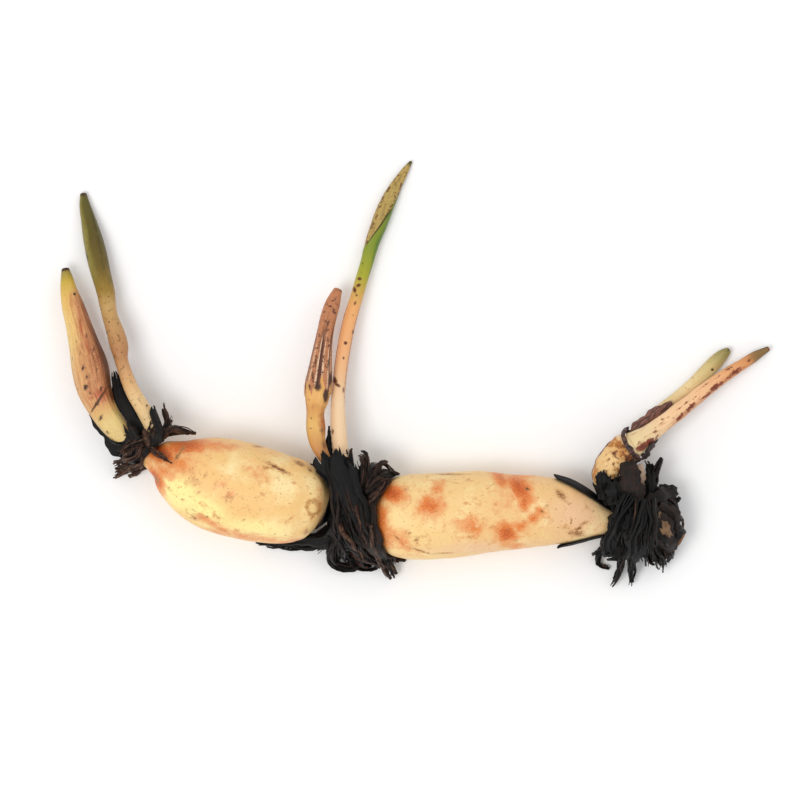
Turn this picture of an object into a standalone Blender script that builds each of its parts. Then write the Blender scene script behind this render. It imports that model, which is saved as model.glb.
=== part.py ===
"""A planting rhizome of lotus, lying on a table with its shoots, scale leaves and root tufts.

The frame has +X along the rhizome towards its broken end, +Y towards the shoot tips and +Z up.
The origin is on the table, under the middle of the whole plant. Every length here is in millimetres
and becomes metres when a mesh is made.
"""

import bmesh
import bpy
import numpy as np

# Driving sizes, mm
METRE = 0.001
GAP = 0.35
SCALE_THICKNESS = 0.8
ROOT_SIDES = 3
INTERNODE_HEIGHT = 0.96

# The rhizome's axis and radius, from its growing head on the left to its broken end on the right.
# Each row is x, y, z, radius.
RHIZOME = [
    (-107.5, -31.0, 17.0, 4.0),
    (-105.2, -32.8, 17.0, 5.0),
    (-100.2, -34.8, 17.2, 8.9),
    (-94.4, -37.9, 17.4, 13.2),
    (-87.4, -41.0, 17.5, 16.8),
    (-79.4, -43.7, 17.5, 18.7),
    (-70.8, -45.9, 17.5, 19.2),
    (-62.4, -48.0, 17.5, 19.0),
    (-53.8, -49.8, 17.4, 18.1),
    (-45.8, -50.6, 17.2, 16.2),
    (-40.2, -51.4, 17.0, 13.0),
    (-36.6, -52.2, 16.6, 8.2),
    (-34.4, -52.8, 16.3, 5.6),
    (-31.0, -53.8, 16.0, 5.0),
    (-26.0, -54.8, 15.6, 6.0),
    (-21.0, -55.8, 15.5, 5.2),
    (-17.8, -56.4, 15.5, 7.3),
    (-14.8, -56.8, 15.6, 11.2),
    (-10.8, -57.0, 15.7, 14.6),
    (-4.0, -57.2, 15.7, 16.8),
    (4.0, -57.2, 15.7, 17.1),
    (14.0, -56.6, 15.7, 17.0),
    (26.0, -55.4, 15.4, 16.6),
    (38.0, -55.2, 15.0, 15.2),
    (50.0, -54.8, 14.4, 14.0),
    (58.0, -55.2, 14.0, 12.8),
    (64.0, -56.2, 13.7, 11.3),
    (70.0, -57.4, 13.4, 8.8),
    (74.8, -58.4, 13.2, 6.3),
    (79.0, -59.0, 13.0, 4.6),
    (84.0, -59.6, 12.8, 4.6),
    (90.0, -60.4, 12.5, 6.0),
    (96.0, -61.6, 12.0, 6.4),
    (101.2, -63.6, 11.0, 5.6),
    (106.0, -66.4, 10.0, 4.2),
]

# Shoots, from root to tip: x, y, z, radius.
TERMINAL_BUD = [
    (-109.0, -29.8, 17.0, 3.9),
    (-112.0, -27.6, 16.8, 4.1),
    (-116.8, -24.2, 16.6, 4.5),
    (-121.2, -19.6, 16.4, 5.0),
    (-125.2, -13.4, 16.0, 5.5),
    (-128.2, -6.4, 15.4, 6.5),
    (-130.2, 2.8, 14.4, 7.0),
    (-132.6, 11.6, 13.0, 5.9),
    (-134.8, 19.6, 11.6, 5.0),
    (-137.2, 27.6, 10.0, 4.4),
    (-138.8, 33.6, 8.6, 3.4),
    (-139.6, 38.4, 7.6, 2.5),
    (-140.2, 42.0, 7.0, 1.6),
]
HEAD_LEAF = [
    (-104.0, -24.2, 21.0, 2.7),
    (-105.2, -20.6, 20.6, 3.0),
    (-108.4, -14.4, 19.6, 3.1),
    (-113.0, -6.4, 18.0, 2.95),
    (-116.2, 1.6, 16.2, 2.7),
    (-117.5, 6.0, 15.2, 2.8),
    (-118.3, 11.0, 14.0, 3.7),
    (-119.8, 16.4, 12.6, 3.6),
    (-121.9, 22.4, 11.0, 3.2),
    (-124.2, 33.6, 8.4, 3.7),
    (-126.4, 41.6, 6.6, 4.0),
    (-127.8, 47.2, 5.6, 4.15),
    (-129.3, 53.6, 4.6, 3.9),
    (-131.2, 61.6, 2.9, 3.0),
    (-132.8, 68.4, 2.0, 2.1),
    (-133.3, 72.4, 1.7, 1.3),
]
MIDDLE_BUD = [
    (-35.4, -34.6, 22.5, 2.2),
    (-37.2, -31.4, 22.2, 2.7),
    (-38.8, -27.6, 21.6, 3.2),
    (-39.6, -21.4, 20.6, 3.75),
    (-39.8, -15.0, 19.4, 3.4),
    (-39.2, -9.8, 18.4, 4.5),
    (-38.7, -5.0, 17.6, 5.0),
    (-38.0, 1.6, 16.4, 4.3),
    (-37.2, 8.8, 15.0, 3.5),
    (-36.0, 16.4, 13.6, 2.95),
    (-34.4, 23.6, 12.4, 2.9),
    (-32.6, 29.2, 11.4, 2.6),
    (-30.9, 33.6, 10.6, 1.8),
]
MIDDLE_LEAF = [
    (-26.8, -44.6, 18.0, 2.7),
    (-28.4, -36.8, 18.6, 3.0),
    (-30.0, -28.4, 17.6, 3.2),
    (-30.7, -18.4, 15.8, 3.1),
    (-30.7, -8.4, 13.8, 2.75),
    (-29.8, 1.6, 12.0, 2.7),
    (-28.5, 10.4, 10.4, 2.75),
    (-26.4, 20.8, 8.4, 2.75),
    (-23.8, 29.6, 6.8, 2.6),
    (-21.5, 37.6, 5.4, 2.55),
    (-19.1, 45.6, 4.4, 2.6),
    (-17.0, 53.6, 3.6, 2.9),
    (-14.7, 59.6, 3.2, 3.15),
    (-12.5, 65.6, 2.9, 3.0),
    (-9.8, 71.6, 2.6, 2.5),
    (-6.4, 77.6, 2.2, 1.9),
    (-3.8, 82.0, 1.7, 1.25),
    (-1.6, 85.4, 1.3, 0.6),
]
SIDE_RUNNER = [
    (79.6, -47.4, 16.2, 3.8),
    (77.0, -44.2, 16.8, 4.6),
    (75.8, -41.0, 17.2, 5.1),
    (77.2, -37.0, 17.4, 5.7),
    (80.4, -33.0, 17.2, 6.1),
    (84.0, -30.2, 16.8, 6.3),
    (86.2, -28.8, 16.5, 6.2),
]
SIDE_BUD = [
    (90.0, -26.5, 16.6, 4.9),
    (92.4, -24.9, 15.9, 4.1),
    (95.8, -22.4, 14.8, 3.5),
    (104.0, -16.1, 12.6, 3.3),
    (112.2, -9.6, 10.4, 3.1),
    (120.0, -3.6, 8.4, 2.8),
    (126.0, 0.5, 6.6, 2.45),
    (132.0, 4.2, 5.0, 2.2),
    (138.0, 8.0, 3.4, 1.8),
    (142.0, 10.2, 2.4, 1.0),
]
SIDE_LEAF = [
    (88.8, -24.2, 9.6, 1.8),
    (93.2, -19.6, 9.2, 2.2),
    (98.8, -14.4, 7.4, 2.4),
    (106.0, -8.8, 5.2, 2.4),
    (112.0, -3.9, 3.7, 2.7),
    (117.2, 1.2, 2.9, 3.0),
    (120.8, 5.0, 2.7, 2.85),
    (124.0, 8.0, 2.3, 2.2),
    (126.0, 9.6, 1.9, 1.3),
]
OLD_STALK = [
    (92.4, -47.0, 15.0, 1.7),
    (90.8, -41.6, 15.4, 1.7),
    (89.4, -36.2, 15.6, 1.6),
]

# The torn sheath at the side shoots' base: a collar, and a blade that lies over the lower shoot.
SHEATH_COLLAR = [
    (87.1, -28.3, 16.3, 6.3),
    (87.8, -27.8, 16.2, 6.9),
    (88.9, -27.1, 16.1, 6.2),
]
SHEATH_BLADE = [
    (86.6, -28.0, 14.2, 2.6),
    (89.4, -22.9, 13.3, 3.2),
    (94.2, -17.9, 12.1, 2.9),
    (98.8, -14.4, 10.9, 2.2),
    (103.2, -11.2, 9.5, 0.7),
]

# Free scale leaves, from root to tip: x, y, z, half-width.
HEAD_INNER_SCALE = [
    (-105.0, -28.0, 18.0, 4.6),
    (-110.2, -22.4, 17.6, 5.0),
    (-114.6, -16.4, 16.8, 4.6),
    (-117.4, -10.4, 15.8, 3.6),
    (-119.2, -4.4, 15.0, 2.3),
    (-120.3, 1.4, 14.4, 0.8),
]
HEAD_OUTER_SCALE = [
    (-108.0, -32.4, 12.4, 3.6),
    (-113.4, -31.0, 11.4, 5.2),
    (-119.0, -27.4, 10.6, 4.6),
    (-123.2, -22.8, 10.2, 3.3),
    (-127.0, -19.2, 10.0, 2.2),
    (-130.2, -15.4, 9.8, 0.7),
]
MIDDLE_INNER_SCALE = [
    (-33.4, -38.0, 20.0, 2.6),
    (-33.8, -30.0, 19.0, 2.0),
    (-33.9, -24.6, 17.8, 1.3),
    (-33.8, -20.4, 17.0, 0.5),
]
END_INNER_SCALE = [
    (84.0, -56.0, 17.6, 4.6),
    (84.6, -48.0, 17.4, 4.8),
    (86.0, -41.4, 16.4, 3.8),
    (87.2, -36.2, 15.2, 1.6),
]
END_WRAPPED_SCALE = [
    (84.0, -59.6, 12.8, 5.0),
    (79.0, -59.0, 13.0, 4.8),
    (74.8, -58.4, 13.2, 6.4),
    (70.0, -57.4, 13.4, 8.9),
    (64.0, -56.2, 13.7, 11.4),
    (58.0, -55.2, 14.0, 12.9),
    (54.4, -55.0, 14.2, 13.4),
]

# Roots: each row is a bundle's path, its width at the root and at the tip, and its number of roots.
HEAD_ROOTS = [
    ([(-103.5, -27.0, 16.0), (-99.8, -20.0, 17.0), (-100.8, -11.2, 16.5)], 0.3, 0.2, 1, 1.4),
    ([(-103.0, -27.0, 20.0), (-97.0, -21.6, 21.0), (-91.0, -22.8, 20.0), (-86.6, -24.6, 19.0)], 0.6, 0.7, 2, 0.7),
    ([(-103.5, -28.0, 17.0), (-97.0, -23.6, 17.5), (-90.4, -24.8, 17.0)], 0.6, 0.7, 2, 0.7),
    ([(-103.5, -26.0, 19.0), (-98.4, -19.6, 18.0), (-97.2, -16.6, 17.0)], 0.5, 0.6, 2, 0.8),
    ([(-110.0, -33.0, 15.0), (-115.0, -34.6, 12.0), (-120.8, -36.6, 8.5)], 1.6, 1.8, 4, 0.9),
    ([(-110.0, -34.0, 11.0), (-115.0, -37.4, 7.0), (-121.4, -41.0, 3.0)], 1.2, 1.0, 3, 0.9),
    ([(-106.0, -35.0, 11.0), (-110.5, -38.0, 6.0), (-115.0, -41.0, 2.0)], 1.2, 1.4, 3, 0.8),
    ([(-104.6, -30.4, 23.0), (-100.4, -33.2, 27.0), (-96.4, -36.2, 30.5)], 0.5, 0.4, 1, 0.8),
]
MIDDLE_ROOTS = [
    ([(-32.0, -43.0, 25.0), (-30.6, -54.4, 28.5), (-29.2, -64.8, 22.0), (-27.8, -72.8, 11.0),
      (-25.2, -76.4, 3.5)], 2.6, 1.8, 4, 1.2),
    ([(-28.0, -41.0, 25.0), (-26.0, -52.4, 29.0), (-22.4, -63.4, 24.5), (-18.0, -71.6, 13.0),
      (-12.8, -77.0, 4.0)], 2.8, 1.8, 4, 1.2),
    ([(-24.0, -44.0, 25.0), (-20.4, -53.4, 28.0), (-17.0, -63.0, 25.0), (-13.4, -72.0, 14.0),
      (-9.6, -78.6, 3.5)], 2.4, 1.4, 4, 1.2),
    ([(-30.0, -62.4, 21.0), (-33.4, -70.4, 13.0), (-32.0, -76.4, 5.0), (-26.4, -78.0, 3.0),
      (-21.6, -75.2, 3.0)], 1.6, 1.2, 3, 1.1),
    ([(-22.8, -50.4, 23.0), (-20.4, -41.4, 24.0), (-20.4, -33.6, 18.0), (-22.4, -31.6, 12.0)], 1.8, 1.2, 3, 1.0),
    ([(-20.4, -51.4, 24.0), (-17.0, -40.8, 23.5), (-13.2, -35.6, 19.0), (-8.0, -39.6, 15.0)], 1.8, 1.0, 3, 1.1),
    ([(-18.0, -53.0, 26.0), (-14.4, -47.2, 26.5), (-9.6, -42.4, 22.0)], 1.8, 1.4, 3, 1.0),
    ([(-30.8, -60.4, 17.0), (-35.6, -66.8, 9.0), (-39.8, -70.4, 3.0)], 1.6, 1.4, 3, 0.9),
    ([(-28.0, -62.0, 6.0), (-38.0, -69.0, 3.4), (-47.0, -69.8, 2.6), (-56.0, -69.2, 2.2), (-64.0, -68.2, 1.8)],
     0.7, 0.3, 2, 0.9),
    ([(-16.0, -68.0, 8.0), (-9.0, -74.0, 3.4), (-2.0, -74.6, 2.4)], 0.8, 0.5, 2, 0.8),
    ([(-25.0, -40.0, 20.0), (-25.4, -33.0, 20.0), (-26.0, -26.8, 19.0)], 0.3, 0.2, 1, 0.8),
]
END_ROOTS = [
    ([(93.2, -50.0, 13.0), (94.2, -42.4, 14.0), (94.0, -36.8, 14.0), (92.8, -34.2, 13.0)], 1.3, 1.1, 3, 1.0),
    ([(94.8, -50.0, 15.0), (96.4, -41.2, 15.0), (99.0, -34.4, 14.0)], 1.2, 0.6, 3, 0.9),
    ([(94.0, -54.0, 18.0), (100.0, -48.6, 15.0), (104.0, -47.4, 9.0)], 1.8, 1.4, 3, 1.25),
    ([(95.0, -55.0, 21.0), (102.0, -54.6, 16.0), (105.6, -58.4, 9.0), (105.4, -62.4, 4.0)], 1.8, 1.4, 3, 1.25),
    ([(93.0, -59.0, 23.0), (99.6, -66.0, 18.0), (103.0, -70.8, 9.0), (103.4, -73.4, 3.0)], 2.2, 1.6, 3, 1.25),
    ([(90.0, -62.4, 22.0), (96.0, -71.0, 15.0), (98.8, -76.2, 7.0), (99.2, -78.6, 2.5)], 2.2, 1.6, 3, 1.25),
    ([(86.0, -66.0, 19.0), (87.0, -75.4, 10.0), (87.2, -81.2, 4.0), (87.2, -85.0, 2.0)], 1.6, 0.6, 3, 0.9),
    ([(84.0, -66.4, 17.0), (82.8, -75.8, 8.0), (81.2, -81.0, 4.0), (78.8, -85.0, 2.0)], 1.6, 0.6, 3, 0.9),
    ([(80.0, -63.4, 15.0), (75.2, -70.6, 8.0), (71.4, -73.6, 3.0)], 1.4, 0.8, 3, 0.9),
    ([(79.0, -66.0, 10.0), (73.6, -74.0, 4.0), (73.8, -76.6, 2.0), (77.8, -78.2, 2.0)], 0.8, 0.4, 2, 0.8),
    ([(88.0, -50.4, 23.0), (83.2, -54.8, 22.5), (80.4, -62.4, 19.0), (79.8, -69.4, 12.0)], 2.2, 1.8, 3, 1.25),
    ([(91.0, -51.4, 23.0), (90.4, -61.4, 24.5), (88.6, -71.4, 15.0), (88.0, -76.6, 7.0)], 2.4, 2.0, 3, 1.25),
]

# The mats that each tuft grows from: centre, half-sizes, the way the roots run, and the number of ribs.
HEAD_MATS = [
    ((-110.6, -30.4, 15.6), (7.2, 6.8, 7.8), (-0.8, -0.6, -0.3), 9),
    ((-104.8, -26.0, 18.2), (4.6, 5.0, 4.8), (0.5, 0.8, 0.1), 7),
]
MIDDLE_MATS = [
    ((-26.2, -55.0, 14.8), (10.6, 13.8, 13.6), (0.12, -1.0, -0.2), 13),
    ((-30.8, -40.5, 18.6), (6.6, 7.0, 6.6), (0.1, 1.0, 0.0), 9),
    ((-17.0, -43.2, 16.4), (5.8, 8.2, 7.8), (0.5, 1.0, -0.2), 9),
    ((-19.0, -70.6, 7.4), (7.0, 6.0, 6.6), (0.5, -1.0, -0.2), 9),
    ((-33.0, -66.6, 6.0), (6.4, 4.0, 5.2), (-0.8, -0.5, -0.2), 7),
]
END_MATS = [
    ((88.0, -58.8, 12.6), (9.6, 11.6, 11.8), (-0.25, -1.0, -0.2), 13),
    ((98.6, -58.0, 11.6), (6.6, 10.6, 9.2), (0.6, -0.8, -0.2), 11),
    ((81.0, -46.8, 16.2), (7.0, 6.4, 7.6), (-0.3, 1.0, 0.0), 9),
    ((97.2, -69.4, 8.0), (5.8, 6.8, 6.8), (0.3, -1.0, -0.2), 9),
    ((80.6, -68.4, 8.2), (7.0, 5.8, 6.8), (-0.6, -0.8, -0.2), 9),
    ((101.6, -49.6, 11.0), (3.6, 3.4, 4.4), (0.8, 0.4, -0.1), 6),
]
SEED = 3


def smooth(stations, per_span):
    """Rows along a smooth curve through the stations: cubic pieces, whose slopes come from the neighbours."""
    rows = np.array(stations, float)
    lengths = np.linalg.norm(np.diff(rows[:, :3], axis=0), axis=1)
    along = np.concatenate([[0.0], np.cumsum(lengths)])
    slopes = np.gradient(rows, along, axis=0)
    steps = np.linspace(0, 1, per_span, endpoint=False)
    made = []
    for i in range(len(rows) - 1):
        h = along[i + 1] - along[i]
        for u in steps:
            made.append(
                (1 + 2 * u) * (1 - u) ** 2 * rows[i]
                + u * (1 - u) ** 2 * h * slopes[i]
                + u * u * (3 - 2 * u) * rows[i + 1]
                - u * u * (1 - u) * h * slopes[i + 1]
            )
    made.append(rows[-1])
    return np.array(made)


def frames(points):
    """Unit vectors at each point of a path: along it, to its right, and up from both."""
    ahead = np.gradient(points, axis=0)
    ahead /= np.linalg.norm(ahead, axis=1, keepdims=True)
    right = np.cross(ahead, [0.0, 0.0, 1.0])
    short = np.linalg.norm(right, axis=1, keepdims=True)
    right = np.where(short > 0.05, right / np.maximum(short, 1e-9), [1.0, 0.0, 0.0])
    up = np.cross(right, ahead)
    up /= np.linalg.norm(up, axis=1, keepdims=True)
    return ahead, np.cross(ahead, up), up


def make_object(name, points, faces):
    """An object from points in millimetres, with its faces turned outwards."""
    mesh = bpy.data.meshes.new(name)
    mesh.from_pydata((np.array(points, float) * METRE).tolist(), [], faces)
    built = bmesh.new()
    built.from_mesh(mesh)
    bmesh.ops.recalc_face_normals(built, faces=built.faces)
    built.to_mesh(mesh)
    built.free()
    made = bpy.data.objects.new(name, mesh)
    bpy.context.scene.collection.objects.link(made)
    return made


def tube_faces(rings, sides):
    """The faces of a closed tube whose points come ring by ring, and then its two end points."""
    faces = []
    for i in range(rings - 1):
        for j in range(sides):
            k = (j + 1) % sides
            faces.append((i * sides + j, i * sides + k, (i + 1) * sides + k, (i + 1) * sides + j))
    first, last, top = rings * sides, rings * sides + 1, (rings - 1) * sides
    for j in range(sides):
        k = (j + 1) % sides
        faces.append((first, k, j))
        faces.append((last, top + j, top + k))
    return faces


def tube(name, rows, sides, grow=0.0, height=1.0, ends=(0.1, 0.4), relief=None):
    """A closed tube along rows of x, y, z and radius.

    Its ends bulge by these shares of the radius, and relief is a share of the radius at an angle and a place.
    """
    centres = rows[:, :3]
    ahead, right, up = frames(centres)
    angle = np.linspace(0, 2 * np.pi, sides, endpoint=False)
    place = np.linspace(0, 1, len(rows))
    radius = np.repeat(rows[:, 3:4] + grow, sides, axis=1)
    if relief:
        radius = radius * (1 + relief(angle[None, :], place[:, None]))
    rings = (
        centres[:, None]
        + (radius * np.cos(angle))[..., None] * right[:, None]
        + (radius * np.sin(angle) * height)[..., None] * up[:, None]
    )
    start = centres[0] - ahead[0] * (radius[0].mean() * ends[0] + grow)
    end = centres[-1] + ahead[-1] * (radius[-1].mean() * ends[1] + grow)
    points = np.vstack([rings.reshape(-1, 3), start, end])
    return make_object(name, points, tube_faces(len(rows), sides))


def shell(name, outer, inner):
    """A thin closed plate between two grids of points of the same size."""
    long, wide = outer.shape[:2]
    points = np.vstack([outer.reshape(-1, 3), inner.reshape(-1, 3)])
    under = long * wide
    faces = []
    for i in range(long - 1):
        for j in range(wide - 1):
            a, b = i * wide + j, i * wide + j + 1
            c, d = b + wide, a + wide
            faces += [(a, b, c), (a, c, d), (under + c, under + b, under + a), (under + d, under + c, under + a)]
    rim = [(i, 0) for i in range(long)] + [(long - 1, j) for j in range(1, wide)]
    rim += [(i, wide - 1) for i in range(long - 2, -1, -1)] + [(0, j) for j in range(wide - 2, 0, -1)]
    edge = [i * wide + j for i, j in rim]
    for a, b in zip(edge, edge[1:] + edge[:1]):
        faces.append((a, b, under + b, under + a))
    return make_object(name, points, faces)


def wrapped_scale(name, rows, height, middle, spread, tip, grow=0.0):
    """A scale leaf bent round a stem: it spans an angle about its middle, narrowing to its tip, in degrees."""
    count = 5
    ahead, right, up = frames(rows[:, :3])
    place = np.linspace(0, 1, len(rows))
    half = np.radians(spread) * (tip + (1 - tip) * np.sqrt(np.clip(1 - place**3, 0, 1)))
    widen = grow / (rows[:, 3] + GAP)
    across = np.linspace(-1, 1, count)
    angle = np.radians(middle) + (half + widen)[:, None] * across[None, :]
    side = np.cos(angle)[..., None] * right[:, None]
    rise = height * np.sin(angle)[..., None] * up[:, None]
    clear = (rows[:, 3] + GAP)[:, None, None]
    stretch = ahead[:, None] * (grow * (2 * place - 1))[:, None, None]
    inner = rows[:, None, :3] + (clear - grow) * (side + rise) + stretch
    outer = rows[:, None, :3] + (clear + SCALE_THICKNESS + grow) * (side + rise) + stretch
    return shell(name, outer, inner)


def flat_scale(name, rows, cup, grow=0.0):
    """A scale leaf that lies free: rows give its middle line and half-width, and cup how far its edges droop."""
    count = 5
    ahead, right, up = frames(rows[:, :3])
    place = np.linspace(0, 1, len(rows))
    across = np.linspace(-1, 1, count)
    width = (rows[:, 3] + grow)[:, None] * across[None, :]
    droop = cup * rows[:, 3][:, None] * across[None, :] ** 2
    stretch = ahead[:, None] * (grow * (2 * place - 1))[:, None, None]
    middle = rows[:, None, :3] + width[..., None] * right[:, None] - droop[..., None] * up[:, None] + stretch
    lift = up[:, None] * (SCALE_THICKNESS / 2 + grow)
    return shell(name, middle + lift, middle - lift)


def mat(centre, half_sizes, run, ribs, draw):
    """A bundle of roots side by side: a ball whose ribs all run one way and end in uneven tips."""
    run = np.array(run) / np.linalg.norm(run)
    side = np.cross(run, [0.0, 0.0, 1.0])
    side /= np.linalg.norm(side)
    up = np.cross(side, run)
    columns = 2 * ribs
    is_rib = np.arange(columns) % 2 == 0
    swell = np.where(is_rib, draw.uniform(0.04, 0.16, columns), -draw.uniform(0.08, 0.15, columns))
    tips = np.where(is_rib, draw.uniform(0.1, 0.5, columns), -0.1)
    polar = np.array([0.4, 0.95, 1.5, 2.05, 2.55])[:, None]
    turn = 2 * np.pi * np.arange(columns) / columns + 0.3 * polar
    around = np.cos(turn)[..., None] * side + np.sin(turn)[..., None] * up
    rings = np.sin(polar)[..., None] * around - np.cos(polar)[..., None] * run
    rings = rings * (1 + swell)[None, :, None]
    rings[-1] += tips[:, None] * run
    points = np.vstack([rings.reshape(-1, 3), -run, 0.9 * run]) * np.array(half_sizes) + np.array(centre)
    return make_object("mat", points, tube_faces(len(polar), columns))


def clear_of(points, rows, height, margin):
    """The points, with those that lie in a stem moved straight out of it."""
    points = points.copy()
    for _ in range(3):
        away = points[:, None] - rows[None, :, :3]
        away[..., 2] /= height
        distance = np.linalg.norm(away, axis=2)
        depth = rows[None, :, 3] + margin - distance
        worst = depth.argmax(axis=1)
        pick = np.arange(len(points))
        push = np.maximum(depth[pick, worst], 0)
        points += away[pick, worst] / distance[pick, worst][:, None] * push[:, None]
    return points


def root(path, radius):
    """One root: a thin tube of few sides that tapers to its tip."""
    rows = smooth(path, 1)
    taper = np.linspace(1.0, 0.55, len(rows)) * radius
    rows = np.column_stack([rows, taper])
    rows[:, 2] = np.maximum(rows[:, 2], rows[:, 3] * 0.8)
    return tube("root", rows, ROOT_SIDES, ends=(0.5, 0.5))


def roots_of(bundles, stems, draw):
    """The roots of every bundle, spread about its path and kept clear of the thick stems."""
    made = []
    for path, start_width, end_width, count, radius in bundles:
        points = np.array(path)
        _, right, up = frames(points)
        width = np.linspace(start_width, end_width, len(points))[:, None]
        turn = draw.uniform(0, 2 * np.pi)
        for i in range(count):
            angle = turn + 2 * np.pi * i / count + draw.uniform(-0.4, 0.4)
            spread = (np.cos(angle) * right + np.sin(angle) * up) * width
            child = points + spread + draw.normal(0, 0.25, points.shape)
            child[-1] += (child[-1] - child[-2]) * draw.uniform(-0.12, 0.12)
            for rows, height in stems:
                child[1:] = clear_of(child[1:], rows, height, radius * 0.8 + GAP)
            made.append(root(child, radius * draw.uniform(0.85, 1.15)))
    return made


def boolean(made, others, operation):
    """Joins the other objects to this one, or cuts them from it, and then removes them."""
    group = bpy.data.collections.new("operands")
    bpy.context.scene.collection.children.link(group)
    for other in others:
        bpy.context.scene.collection.objects.unlink(other)
        group.objects.link(other)
    step = made.modifiers.new(operation.lower(), "BOOLEAN")
    step.operation = operation
    step.operand_type = "COLLECTION"
    step.collection = group
    step.solver = "MANIFOLD"
    bpy.context.view_layer.update()
    graph = bpy.context.evaluated_depsgraph_get()
    result = bpy.data.meshes.new_from_object(made.evaluated_get(graph))
    made.modifiers.clear()
    made.data = result
    for other in others:
        bpy.data.objects.remove(other)
    bpy.data.collections.remove(group)


def rest_on_table(made):
    """Cuts away what lies under the table's top, which leaves a flat spot where a round belly rests."""
    if min(v.co.z for v in made.data.vertices) < 0:
        across, deep = 200.0, 20.0
        corners = [(x, y, z) for z in (-deep, 0.0) for x, y in ((-1, -1), (1, -1), (1, 1), (-1, 1))]
        corners = [(x * across, y * across, z) for x, y, z in corners]
        walls = [(i, (i + 1) % 4, (i + 1) % 4 + 4, i + 4) for i in range(4)]
        slab = make_object("table", corners, [(3, 2, 1, 0), (4, 5, 6, 7)] + walls)
        boolean(made, [slab], "DIFFERENCE")


def keep_largest(made):
    """Drops the loose scraps and sealed hollows that fusing has left, and keeps the skin with the most faces."""
    built = bmesh.new()
    built.from_mesh(made.data)
    left = set(built.faces)
    skins = []
    while left:
        skin = {left.pop()}
        edge = list(skin)
        while edge:
            shared = [e for face in edge for e in face.edges if len(e.link_faces) == 2]
            near = {face for e in shared for face in e.link_faces} - skin
            skin |= near
            edge = list(near)
        left -= skin
        skins.append(skin)
    skins.sort(key=len)
    scraps = [face for skin in skins[:-1] for face in skin]
    bmesh.ops.delete(built, geom=scraps, context="FACES")
    built.to_mesh(made.data)
    built.free()


def finish(made, colour, roughness, rounded=True):
    """Sets a piece on the table and gives it its own material, its colour as red, green and blue."""
    rest_on_table(made)
    material = bpy.data.materials.new(made.name)
    material.use_nodes = True
    shader = material.node_tree.nodes["Principled BSDF"]
    shader.inputs["Base Color"].default_value = (*colour, 1.0)
    shader.inputs["Roughness"].default_value = roughness
    shader.inputs["Metallic"].default_value = 0.0
    made.data.materials.clear()
    made.data.materials.append(material)
    if rounded:
        made.data.shade_smooth()


def skin_ripple(angle, place):
    """The low waves of the rhizome's skin."""
    return 0.012 * np.sin(3 * angle + 9 * place) + 0.008 * np.sin(2 * angle - 31 * place)


def bud_ribs(angle, place):
    """The ribs that a folded leaf shows along its bud, strongest at mid length."""
    return 0.07 * np.sin(np.pi * np.clip(place * 1.1, 0, 1)) * np.cos(5 * angle + 1.2)


def rolled_edge(angle, place):
    """The step where a rolled leaf's margin laps over itself, on the outer half of the stalk."""
    lap = np.clip((place - 0.55) * 6, 0, 1) * np.clip((1 - place) * 8, 0, 1)
    turned = np.mod(angle - 2.2 + 1.6 * place, 2 * np.pi) / (2 * np.pi)
    return 0.16 * lap * (turned - 0.5)


def stem_ends(name):
    """How far a stem's two ends bulge: the ones that were broken off have flat outer ends."""
    return (0.1, 0.05) if name in ("side_runner", "old_stalk") else (0.1, 0.4)


CREAM = (0.86, 0.66, 0.40)
STRAW = (0.78, 0.60, 0.28)
PEACH = (0.80, 0.52, 0.30)
OLIVE = (0.45, 0.38, 0.14)
GREEN = (0.52, 0.55, 0.16)
BROWN = (0.45, 0.24, 0.15)
ROOT_BLACK = (0.035, 0.028, 0.025)
SHEATH_BROWN = (0.12, 0.055, 0.045)


def head_scales(stems):
    """The scale leaves of the growing head: between its two shoots, under the bud and up the leaf's right side."""
    return [
        flat_scale("scale", smooth(HEAD_INNER_SCALE, 2), 0.25),
        flat_scale("scale", smooth(HEAD_OUTER_SCALE, 2), 0.2),
        wrapped_scale("scale", stems["head_leaf"][:3], 1.0, middle=5, spread=70, tip=0.3),
    ]


def middle_scales(stems):
    """The scale leaves of the middle node: a torn sheath over the leaf stalk, and a flap beside the bud."""
    return [
        wrapped_scale("scale", stems["middle_leaf"][:3], 1.0, middle=80, spread=120, tip=0.3),
        flat_scale("scale", smooth(MIDDLE_INNER_SCALE, 2), 0.2),
    ]


def end_scales(stems):
    """The scale leaves of the end node: one each side of the tapering internode, and one under the side runner."""
    rows = smooth(END_WRAPPED_SCALE, 1)
    return [
        wrapped_scale("scale", rows, INTERNODE_HEIGHT, middle=6, spread=38, tip=0.15),
        wrapped_scale("scale", rows[:6], INTERNODE_HEIGHT, middle=182, spread=30, tip=0.15),
        flat_scale("scale", smooth(END_INNER_SCALE, 2), 0.3),
    ]


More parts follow.
